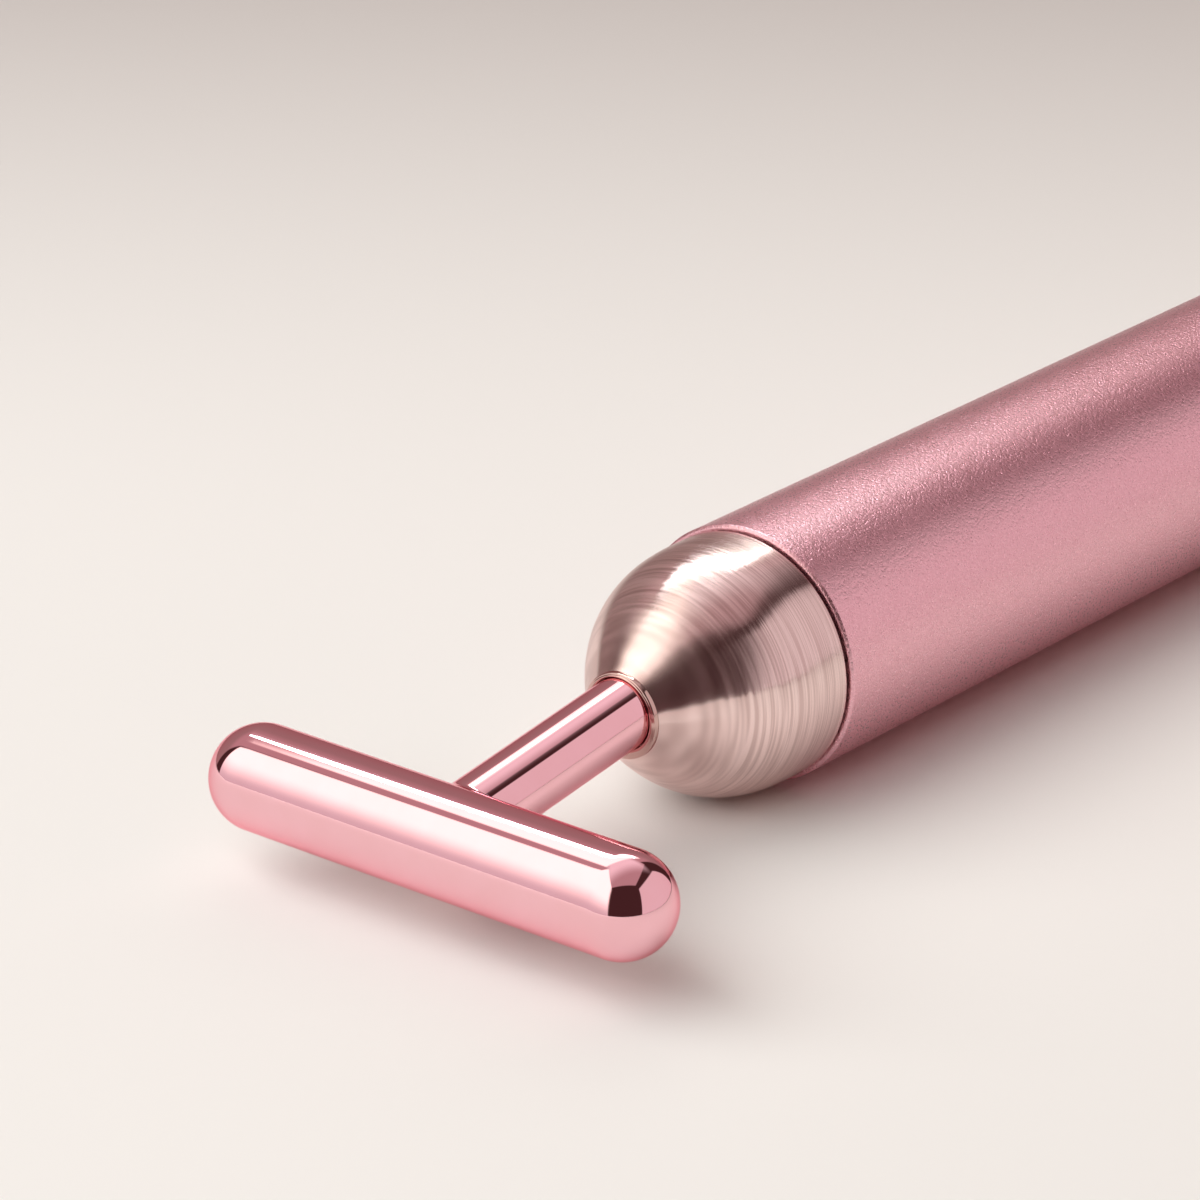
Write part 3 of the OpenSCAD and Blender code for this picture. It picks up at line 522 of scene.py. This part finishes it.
hole_edge = slid_to_plane(HOLE_R + MOUTH_WIDE, LIP_FRONT)
lip_edge = round_barrel(LIP_FRONT, LIP_R - LIP_ROUND)
across = np.linspace(0, 1, 9)[1:-1, None, None]
face = hole_edge * (1 - across) + lip_edge * across
face[..., 0] -= 4 * across[..., 0] * (1 - across[..., 0]) * LIP_CROWN * MM
socket_rows = [
    *(on_neck(reach, radius, TURN) for reach, radius in (
        (BORE_FLOOR, PIN_R), (BORE_FLOOR, STUD_BORE_R), (WASHER_SEAT, STUD_BORE_R),
        (WASHER_SEAT, HOLE_R))),
    slid_to_plane(HOLE_R, LIP_FRONT + MOUTH_DEEP),
    hole_edge,
    *face,
    *(round_barrel(place, radius) for place, radius in
        arc(LIP_FRONT + LIP_ROUND, LIP_R - LIP_ROUND, LIP_ROUND, -90, 0, 6)),
    round_barrel(LIP_BACK, LIP_R),
    slid_to_plane(CUP_R, LIP_BACK),
    *(on_neck(CUP_END, radius, TURN) for radius in (CUP_R, PIN_R)),
]
lip = close_grid("socket_lip", np.stack(socket_rows), "handle", "lip_rose", ["neck_socket"],
    sharp=40)

# %% [markdown]
# ## The nose
# The nose is spun or turned from steel and brushed while it spins. A sphere could be pulled into
# such a bell by eye, but a formula can be matched to the photograph's outline: it stays full
# beside the barrel and then draws in quickly to the small tip, because the radius falls as the
# cube of one minus a power of the distance.

# %% Nose
RIM_R = BARREL_R - 0.35                # the rim stands in a little from the barrel's skin
RIM_ROUND = 0.12
NOSE_LEN = 14.4
NOSE_LAND = 1.5                        # the straight part beside the barrel
NOSE_FULLNESS = 2.8                    # the power: the higher, the fuller the shoulder
SEAM = 0.25                            # the gasket between the nose and the barrel
nose_span = (NOSE_LEN - NOSE_LAND) / (1 - (LIP_R / RIM_R) ** (1 / 3)) ** (1 / NOSE_FULLNESS)


def nose_radius(ahead):
    """Rim radius * (1 - u^fullness)^3, with u from 0 at the end of the straight land."""
    u = np.clip((ahead - NOSE_LAND) / nose_span, 0, 1)
    return RIM_R * (1 - u**NOSE_FULLNESS) ** 3


ahead = np.linspace(SEAM + RIM_ROUND, NOSE_LEN, 150)
nose_outline = np.concatenate([
    [(-SEAM, MIDDLE_R), (-SEAM, RIM_R - RIM_ROUND)],
    arc(-SEAM - RIM_ROUND, RIM_R - RIM_ROUND, RIM_ROUND, 90, 0, 6),
    np.stack([-ahead, nose_radius(ahead)], axis=-1)[1:],
    [(-NOSE_LEN, CUP_R), (-NOSE_LEN, MIDDLE_R)],
])
nose = close_grid("nose_surface", turned(nose_outline, 240), "handle", "brushed_rose_steel",
    ["nose_dome"])

# %% [markdown]
# ## The barrel
# The barrel is a drawn aluminium tube. Its ends are chamfered on the lathe, then the whole tube
# is bead blasted, which leaves a fine even grain, and anodised in pink. A cylinder with a Bevel
# modifier would come close. Turning the outline gives the bore and the softened chamfers at the
# same time, and it keeps the faces on the skin even.

# %% Barrel
BORE_R = 8.8
CHAMFER = 0.2
SOFT = 0.04                            # how far a corner of the chamfer is rounded


def tube_end(place, side):
    """The chamfered end of the tube, from the bore out to the skin; side is -1 at the front.
    Both corners of the chamfer are rounded a little, as blasting leaves them."""
    inner = (place, BARREL_R - CHAMFER)
    outer = (place - side * CHAMFER, BARREL_R)
    slope = np.array([-side, 1.0]) / 2**0.5 * SOFT
    return [(place, BORE_R), (place, BARREL_R - CHAMFER - 2 * SOFT),
        (place, BARREL_R - CHAMFER - SOFT), np.add(inner, slope), np.add(inner, 2 * slope),
        np.subtract(outer, 2 * slope), np.subtract(outer, slope),
        (place - side * (CHAMFER + SOFT), BARREL_R),
        (place - side * (CHAMFER + 2 * SOFT), BARREL_R)]


skin = fine((CHAMFER + 3 * SOFT, BARREL_R), (BARREL_LEN - CHAMFER - 3 * SOFT, BARREL_R), 60)
barrel_outline = np.concatenate([tube_end(0, -1), skin, tube_end(BARREL_LEN, 1)[::-1]])
barrel = close_grid("barrel_surface", turned(barrel_outline, 256), "handle", "anodised_pink",
    ["barrel"], sharp=50, ring_shut=True)

# %% [markdown]
# ## The tail cap
# The cap's shell matches the nose: turned steel, brushed round its axis, with a rolled edge. It
# could be a cylinder hollowed with a Boolean, but one closed outline gives the shell, its wall
# and the hole for the button at once. Each straight run starts a few tenths of a millimetre past
# a corner, so that the corner's shading does not spread over it.

# %% Tail cap
TAIL_END = 114.0
CAP_FRONT = 98.1
CAP_ROUND = 2.0                        # the rolled edge
CAP_BORE = 8.4
CAP_FLOOR = 112.05                     # the inner face of its end
HOLE = 4.58                            # the hole that the button slides in
EDGE = 0.12                            # the small corners at the front and at the hole
cap_outline = np.concatenate([
    arc(CAP_FRONT + EDGE, RIM_R - EDGE, EDGE, -90, 0, 6),
    fine((CAP_FRONT + 0.4, RIM_R), (TAIL_END - CAP_ROUND - 0.3, RIM_R), 30),
    arc(TAIL_END - CAP_ROUND, RIM_R - CAP_ROUND, CAP_ROUND, 0, 90, 24),
    fine((TAIL_END, RIM_R - CAP_ROUND - 0.3), (TAIL_END, HOLE + 0.5), 8),
    arc(TAIL_END - EDGE, HOLE + EDGE, EDGE, 0, -90, 6),
    [(CAP_FLOOR, HOLE), (CAP_FLOOR, CAP_BORE), (CAP_FRONT, CAP_BORE)],
])
cap = close_grid("tail_cap_surface", turned(cap_outline, 240), "cap", "brushed_rose_steel",
    ["tail_cap"], sharp=40, ring_shut=True)

# %% [markdown]
# ## The push button
# The button in the middle of the cap is turned and plated like the bar. Its face is a shallow
# dome, and inside the cap it has a groove for its seal and a flange that stops it from falling
# out. It could be a cylinder with a bevel, but its seal would then cut into it. It stands where
# the CAD has it, so it still slides through its hole.

# %% Push button
BUTTON_R = 4.5
BUTTON_TOP = 113.6
BUTTON_EDGE = 0.5
CROWN = 0.3                            # how far its face swells
FLANGE_R, FLANGE = 5.8, (108.68, 109.68)
GROOVE_R, GROOVE = 3.64, (110.93, 112.03)
face_r = BUTTON_R - BUTTON_EDGE
crown_r = np.linspace(face_r, 0.25, 16)
crown_place = BUTTON_TOP - CROWN * (crown_r / face_r) ** 2
button_outline = np.concatenate([
    [(FLANGE[0], MIDDLE_R), (FLANGE[0], FLANGE_R), (FLANGE[1], FLANGE_R), (FLANGE[1], BUTTON_R),
        (GROOVE[0], BUTTON_R), (GROOVE[0], GROOVE_R), (GROOVE[1], GROOVE_R),
        (GROOVE[1], BUTTON_R)],
    arc(BUTTON_TOP - CROWN - BUTTON_EDGE, face_r, BUTTON_EDGE, 0, 90, 12),
    np.stack([crown_place, crown_r], axis=-1)[1:],
])
button = close_grid("button_surface", turned(button_outline), "button", "plated_rose",
    ["push_button"], sharp=50)

# %% [markdown]
# ## The return spring
# Three turns of spring wire stand between the switch and the button's flange and push the button
# back out. The spring is out of sight. A real one gets shorter as the button goes in; here it is
# drawn as it stands at rest. A curve with a round bevel could draw the wire.

# %% Return spring
SPRING_R = 3.2                         # to the middle of the wire
WIRE_R = 0.225
SPRING_TURNS = 3
SPRING_SEATS = (104.98, 108.68)        # the switch's face and the flange
SPRING_GAP = 0.08                      # what the wire leaves free at each seat


def coil(radius, wire, low, high, turns, per_turn=32, sides=16):
    """A round wire wound about the barrel's axis. The middle of the wire is at radius *
    (sin(angle), -cos(angle)) and climbs from low to high with the angle, and every ring of
    points round it stands square to it."""
    angle = np.linspace(0, 2 * pi * turns, turns * per_turn + 1)[:, None]
    section = np.linspace(0, 2 * pi, sides, endpoint=False)
    climb = low + (high - low) * angle / (2 * pi * turns)
    slope = np.arctan((high - low) / (2 * pi * turns * radius))
    out = radius + wire * np.cos(section)
    along = wire * np.sin(section) * np.cos(slope)
    side = wire * np.sin(section) * np.sin(slope)
    return on_axis(climb + along, out * np.sin(angle) - side * np.cos(angle),
        -out * np.cos(angle) - side * np.sin(angle))


spring = close_grid("return_spring_wire",
    coil(SPRING_R, WIRE_R, SPRING_SEATS[0] + WIRE_R + SPRING_GAP,
        SPRING_SEATS[1] - WIRE_R - SPRING_GAP, SPRING_TURNS),
    "cap", "bright_steel", ["return_spring"], sharp=40)
tuple(on_axis(SPRING_SEATS[0], 0, 0))
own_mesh(spring)

# %% [markdown]
# ## Finishes
# Every finish starts from the real metal or plastic and from how it was made. Photographs of
# metal could be wrapped round the pieces, but they blur close up and carry their own light, so
# each finish is a pattern worked out from a size. A grain in millimetres becomes a noise scale:
# the noise repeats about once per unit of its input, so a scale of one over the grain, in
# metres, draws blobs as wide as the grain.

# %% Patterns
def blobs(tree, grain_mm, detail=2.0):
    """Noise whose blobs are a grain wide: its scale is one over the grain in metres."""
    point = add(tree, "TexCoord").outputs["Object"]
    return add(tree, "TexNoise", {"Vector": point, "Scale": 1 / (grain_mm * MM),
        "Detail": detail}).outputs["Fac"]


def lathe_lines(tree, width_mm, along_share, detail):
    """Noise drawn out into thin rings round the barrel's axis, without a seam. Its coordinates
    are the distance along the outline over the line's width, and the direction from the axis
    times a small share, so that a line is long round the axis and thin along it."""
    point = add(tree, "TexCoord").outputs["Object"]
    centred = add(tree, "Mapping", {"Vector": point, "Location": (-AXIS_X, 0, -AXIS_Z)})
    part = add(tree, "SeparateXYZ", {0: centred.outputs[0]})
    across = add(tree, "CombineXYZ", {1: part.outputs[1], 2: part.outputs[2]}).outputs[0]
    radius = add(tree, "VectorMath", {0: across}, operation="LENGTH").outputs["Value"]
    outwards = add(tree, "VectorMath", {0: across}, operation="NORMALIZE").outputs[0]
    slow = add(tree, "VectorMath", {0: outwards, "Scale": along_share}, operation="SCALE")
    travel = add(tree, "Math", {0: radius, 1: part.outputs[0]}, operation="SUBTRACT").outputs[0]
    fast = add(tree, "Math", {0: travel, 1: 1 / (width_mm * MM)}, operation="MULTIPLY")
    side = add(tree, "CombineXYZ", {0: fast.outputs[0]})
    spot = add(tree, "VectorMath", {0: side.outputs[0], 1: slow.outputs[0]}, operation="ADD")
    return add(tree, "TexNoise", {"Vector": spot.outputs[0], "Scale": 1.0,
        "Detail": detail}).outputs["Fac"]


print("A grain of 0.3 mm needs a noise scale of %.0f" % (1 / (0.3 * MM)))

# %% [markdown]
# ### From a pattern to a finish
# A real surface never has one colour and one gloss all over. So a pattern picks every point's
# colour between two close tones, and its gloss between two close values, and the same pattern
# may raise and lower the surface a few micrometres. What is the same all over is set on the
# shader itself.

# %% Shader
def between(tree, pattern, first, second, low=0.3, high=0.7):
    """The first of two numbers or hex colours where the pattern is at its low or under it, the
    second where it is at its high or over it, and a mix of both in between."""
    colours = isinstance(first, str)
    share = add(tree, "MapRange", {"Value": pattern, "From Min": low, "From Max": high,
        "To Min": 0.0 if colours else first, "To Max": 1.0 if colours else second})
    if not colours:
        return share.outputs["Result"]
    return result(add(tree, "Mix", {"Factor": share.outputs["Result"], "A": linear(first),
        "B": linear(second)}, data_type="RGBA"))


def shade(material, tree, colour, rough, relief=None, relief_mm=0.0, **constant):
    """Ends a finish: one Principled shader with its colour, roughness and relief linked, and
    everything that is the same all over set on its own sockets."""
    inputs = {"Base Color": colour, "Roughness": rough, **constant}
    if relief is not None:
        bump = add(tree, "Bump", {"Height": relief, "Distance": relief_mm * MM, "Strength": 1.0})
        inputs["Normal"] = bump.outputs["Normal"]
    shader = add(tree, "BsdfPrincipled", inputs)
    add(tree, "OutputMaterial", {"Surface": shader.outputs["BSDF"]})
    print("Finish:", material.name)
    return material


print("Every finish ends in one Principled shader")

# %% [markdown]
# ### Rose plating
# Polished brass under a thin electroplated layer of a gold and copper alloy. It mirrors the room
# and only tints it. A flawless mirror looks false, so wide, faint clouds change its tone, and
# small ones of polishing haze blur the reflections here and there. The socket's lip is polished
# steel: the same mirror, browner and a little duller.

# %% Rose plating
def rose_plating(name, first, second, haze):
    """A tinted mirror: clouds of 2.5 mm in its tone and relief, and of 0.6 mm in its haze."""
    material, tree = new_material(name)
    cloud = blobs(tree, 2.5)
    rough = between(tree, blobs(tree, 0.6, 4.0), *haze)
    return shade(material, tree, between(tree, cloud, first, second), rough, cloud, 0.0006,
        Metallic=1.0, **{"Specular Tint": linear("#f7c4cb")})


FINISHES = {
    "plated_rose": rose_plating("plated_rose_alloy", "#f9c3cc", "#f7c0c8", (0.025, 0.05)),
    "lip_rose": rose_plating("polished_lip_steel", "#d8b9b2", "#cdaaa3", (0.05, 0.09)),
}

# %% [markdown]
# ### Brushed rose steel
# Stainless steel with a light rose tint, brushed with abrasive while it turns. The fine
# scratches run round the axis, so light spreads along the outline, square to them: that is what
# draws the bright and dark wedges. Relief alone could draw scratches, but not ones too fine to
# see. So anisotropy gives the spread, and lines of 0.06 and 0.12 mm, coarser than the real ones
# so that they show, change the tone and the gloss and lean the surface a little to each side.

# %% Brushed steel
# A line's width in mm and its share: the lower the share, the longer the line
FINE_LINE, BROAD_LINE = (0.06, 1.6), (0.12, 1.3)
LEAN = 0.014                           # how far a scratch leans, as a share of the normal
brushed_steel, tree = new_material("brushed_stainless_steel")
fine_lines = lathe_lines(tree, *FINE_LINE, 0.0)
broad_lines = lathe_lines(tree, *BROAD_LINE, 0.0)
both = add(tree, "Math", {0: fine_lines, 1: broad_lines}, operation="ADD").outputs[0]
tone = between(tree, both, "#d6b9b5", "#f4dad6", 0.75, 1.25)
rough = between(tree, broad_lines, 0.19, 0.23)
around_axis = add(tree, "Tangent", direction_type="RADIAL", axis="X").outputs[0]
tilt = between(tree, fine_lines, -LEAN, LEAN, 0.25, 0.75)
sideways = add(tree, "VectorMath", {0: around_axis, "Scale": tilt}, operation="SCALE")
facing = add(tree, "NewGeometry").outputs["Normal"]
leaning = add(tree, "VectorMath", {0: facing, 1: sideways.outputs[0]}, operation="ADD")
scratched = add(tree, "VectorMath", {0: leaning.outputs[0]}, operation="NORMALIZE").outputs[0]
FINISHES["brushed_rose_steel"] = shade(brushed_steel, tree, tone, rough, Tangent=around_axis,
    Normal=scratched, Metallic=1.0, Anisotropic=0.94,
    **{"Anisotropic Rotation": 0.25, "Specular Tint": linear("#fcf6f5")})

# %% [markdown]
# ### Pink anodised aluminium
# Bead blasting dents the tube with tiny craters, and anodising then grows a clear, dyed skin on
# it. The craters blur the room into soft bands and sparkle where one of them faces the light.
# A plain rough metal would lose that pale gleam. So the dyed metal is the base, with craters in
# its relief, and the clear skin over it is a coat that adds an untinted gleam. The skin's index
# is set a little above that of the real oxide, so that the gleam is as strong as in the
# photograph.

# %% Anodised aluminium
CRATER_MM, GRIT_MM = 0.24, 0.12
CRATER_SHARE = 0.8                     # how much of the relief is craters, against the grit
anodised, tree = new_material("anodised_pink_aluminium")
point = add(tree, "TexCoord").outputs["Object"]
craters = add(tree, "TexVoronoi", {"Vector": point, "Scale": 1 / (CRATER_MM * MM)},
    feature="SMOOTH_F1").outputs["Distance"]
grit = blobs(tree, GRIT_MM, 1.0)
grain = add(tree, "Math", {0: craters, 1: CRATER_SHARE}, operation="MULTIPLY").outputs[0]
relief = add(tree, "Math", {0: grain, 1: grit}, operation="ADD").outputs[0]
tone = between(tree, grit, "#e5a2b0", "#f7bac6")
rough = between(tree, craters, 0.27, 0.34, 0.2, 0.8)
FINISHES["anodised_pink"] = shade(anodised, tree, tone, rough, relief, 0.045, Metallic=1.0,
    **{"Coat Weight": 1.0, "Coat IOR": 1.9, "Coat Roughness": 0.32,
        "Specular Tint": linear("#e7b3bc")})

# %% [markdown]
# ### Metals inside
# The pieces inside are seen when the cap or the head is unscrewed, or when the part is taken
# apart. One grey metal could serve for all, but a brass thread would then look like a steel
# shaft. Turned pieces get the rings of the tool, round the barrel's axis, and stamped, wound or
# pressed ones get a grain.

# %% Metals inside
def grained(name, first, second, grain_mm, rough, relief_mm, **constant):
    """A finish with blobs of a grain size in its colour, gloss and relief."""
    material, tree = new_material(name)
    grain = blobs(tree, grain_mm, 3.0)
    return shade(material, tree, between(tree, grain, first, second),
        between(tree, grain, *rough), grain, relief_mm, **constant)


def lathed(name, first, second, line_mm, rough, relief_mm):
    """A metal with tool marks that run round the barrel's axis."""
    material, tree = new_material(name)
    marks = lathe_lines(tree, line_mm, 3.0, 2.0)
    around = add(tree, "Tangent", direction_type="RADIAL", axis="X").outputs[0]
    return shade(material, tree, between(tree, marks, first, second),
        between(tree, marks, *rough), marks, relief_mm, Tangent=around, Metallic=1.0,
        Anisotropic=0.4, **{"Anisotropic Rotation": 0.25})


FINISHES |= {
    # Warm and bright, with rings that a turning tool leaves
    "brass": lathed("turned_brass", "#c9a35c", "#e2c27f", 0.12, (0.18, 0.30), 0.004),
    # Cool and brighter, with finer rings from grinding
    "bright_steel": lathed("ground_steel", "#c9cbd0", "#e4e5e8", 0.08, (0.12, 0.25), 0.002),
    # A thin gold wash on stamped brass: yellow and a little cloudy
    "gilt_contacts": grained("gilt_spring_brass", "#dcb35e", "#efd08a", 0.4, (0.15, 0.3),
        0.002, Metallic=1.0),
    # Stamped plates with an oxide on them: grey and half dull
    "core_steel": grained("stacked_core_steel", "#7f8288", "#9a9da3", 0.3, (0.35, 0.5), 0.004,
        Metallic=1.0),
    # Pressed and baked powder: a brownish grey, finely pitted
    "weight_metal": grained("sintered_tungsten_alloy", "#7e776c", "#978f82", 0.15, (0.4, 0.55),
        0.006, Metallic=1.0),
}

# %% [markdown]
# ### Plastics, rubber, ceramic and fibre inside
# Moulded plastic carries the fine texture of its mould, rubber is duller, and baked ceramic and
# pressed fibre hardly shine. One plain dark plastic would do for what is rarely seen, but each
# of these tells what the piece is for: insulation is smooth and coloured, and a seal is dull.

# %% Plastics, rubber, ceramic and fibre inside
FINISHES |= {
    # Ceramic: near black, with a dry, even grain
    "magnet": grained("ferrite_magnet", "#34343a", "#45454c", 0.2, (0.5, 0.65), 0.006),
    # Moulded: half dull, with the mould's texture
    "black_plastic": grained("moulded_black_nylon", "#232327", "#303036", 0.3, (0.4, 0.55),
        0.005),
    "white_plastic": grained("moulded_natural_nylon", "#dedbd2", "#ebe8e0", 0.35, (0.35, 0.5),
        0.004),
    # Glass cloth under green lacquer: smooth, and faintly mottled by the weave
    "board_green": grained("glass_fibre_board", "#2b6a42", "#347a4d", 0.25, (0.25, 0.4), 0.004),
    # Drawn over the wire while soft: smooth, with a waxy shine
    "red_insulation": grained("red_wire_insulation", "#a81d26", "#ba2a33", 0.5, (0.3, 0.42),
        0.002),
    "black_insulation": grained("black_wire_insulation", "#1b1b1e", "#26262a", 0.5, (0.3, 0.42),
        0.002),
    # Rubber: dark, with hardly a gleam
    "dark_rubber": grained("nitrile_rubber", "#1e1e21", "#2a2a2e", 0.2, (0.55, 0.7), 0.004),
    # Pressed fibre: wine red, dry and a little fuzzy
    "wine_gasket": grained("wine_fibre_gasket", "#3c1c24", "#52303a", 0.12, (0.6, 0.8), 0.006),
}

# %% [markdown]
# ### Copper wire
# The windings are lacquered copper wire, laid side by side. Real turns could be modelled as
# coils of wire, but there are hundreds of them and they are hidden, so bands run along each
# pole: raised and bright between the grooves, with a darker copper painted into the grooves as
# painted shade. They are half a millimetre apart, wider than real wires, so that they show.

# %% Copper windings
BAND_MM = 0.4935
WAVE_RATE = 20                         # a wave texture runs through 20 radians in each unit
copper, tree = new_material("lacquered_copper_wire")
point = add(tree, "TexCoord").outputs["Object"]
bands = add(tree, "TexWave", {"Vector": point, "Scale": 2 * pi / WAVE_RATE / (BAND_MM * MM),
    "Distortion": 0.4, "Detail": 1.0}, wave_type="BANDS", bands_direction="Z").outputs["Fac"]
# Painted shade: the darker copper lies in the grooves between the bands
FINISHES["copper"] = shade(copper, tree, between(tree, bands, "#8f4a22", "#d98148", 0, 1),
    between(tree, bands, 0.35, 0.2, 0, 1), bands, 0.05, Metallic=1.0)

# %% [markdown]
# ### The battery's film
# A battery has a printed film shrunk onto it. Here it is a plain one: dark over most of its
# length, and copper coloured at its positive end, as many unnamed cells are. Two materials could
# meet on the mesh, but the mesh is the CAD's and is not cut, so the place along the barrel picks
# the colour, over an edge of a tenth of a millimetre.

# %% Battery film
COPPER_SHARE = 0.27                    # how much of the battery's length is copper coloured
EDGE_HALF = 0.05 * MM
battery_low, battery_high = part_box("battery_cell")
split = battery_low.x + COPPER_SHARE * (battery_high.x - battery_low.x)
battery_film, tree = new_material("printed_battery_film")
place_x = add(tree, "SeparateXYZ", {0: add(tree, "TexCoord").outputs["Object"]}).outputs[0]
past = add(tree, "MapRange", {"Value": place_x, "From Min": split - EDGE_HALF,
    "From Max": split + EDGE_HALF}, interpolation_type="SMOOTHSTEP").outputs["Result"]
haze = blobs(tree, 0.8, 3.0)
tone = add(tree, "Mix", {"Factor": past, "A": between(tree, haze, "#b8733f", "#c9854f", 0, 1),
    "B": between(tree, haze, "#1c1d20", "#26272b", 0, 1)}, data_type="RGBA")
FINISHES["battery_label"] = shade(battery_film, tree, result(tone),
    between(tree, haze, 0.22, 0.32), haze, 0.002)

# %% [markdown]
# ## Finishes onto pieces
# The record says which slot each piece takes its finish from. Each piece could be given its
# finish where it is made, but one loop here dresses the new surfaces and the CAD nodes alike,
# and none is forgotten.

# %% Dress every piece
slot_of = {part["node"]: part["material_slot"] for part in frame["record"]["subparts"]}
for name, node in frame["nodes"].items():
    node.data.materials.clear()
    node.data.materials.append(FINISHES[slot_of[name]])
for piece in (massage_bar, neck, fillet, lip, nose, barrel, cap, button, spring):
    piece.data.materials.append(FINISHES[piece["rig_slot"]])
print("Dressed %d CAD nodes" % len(slot_of))
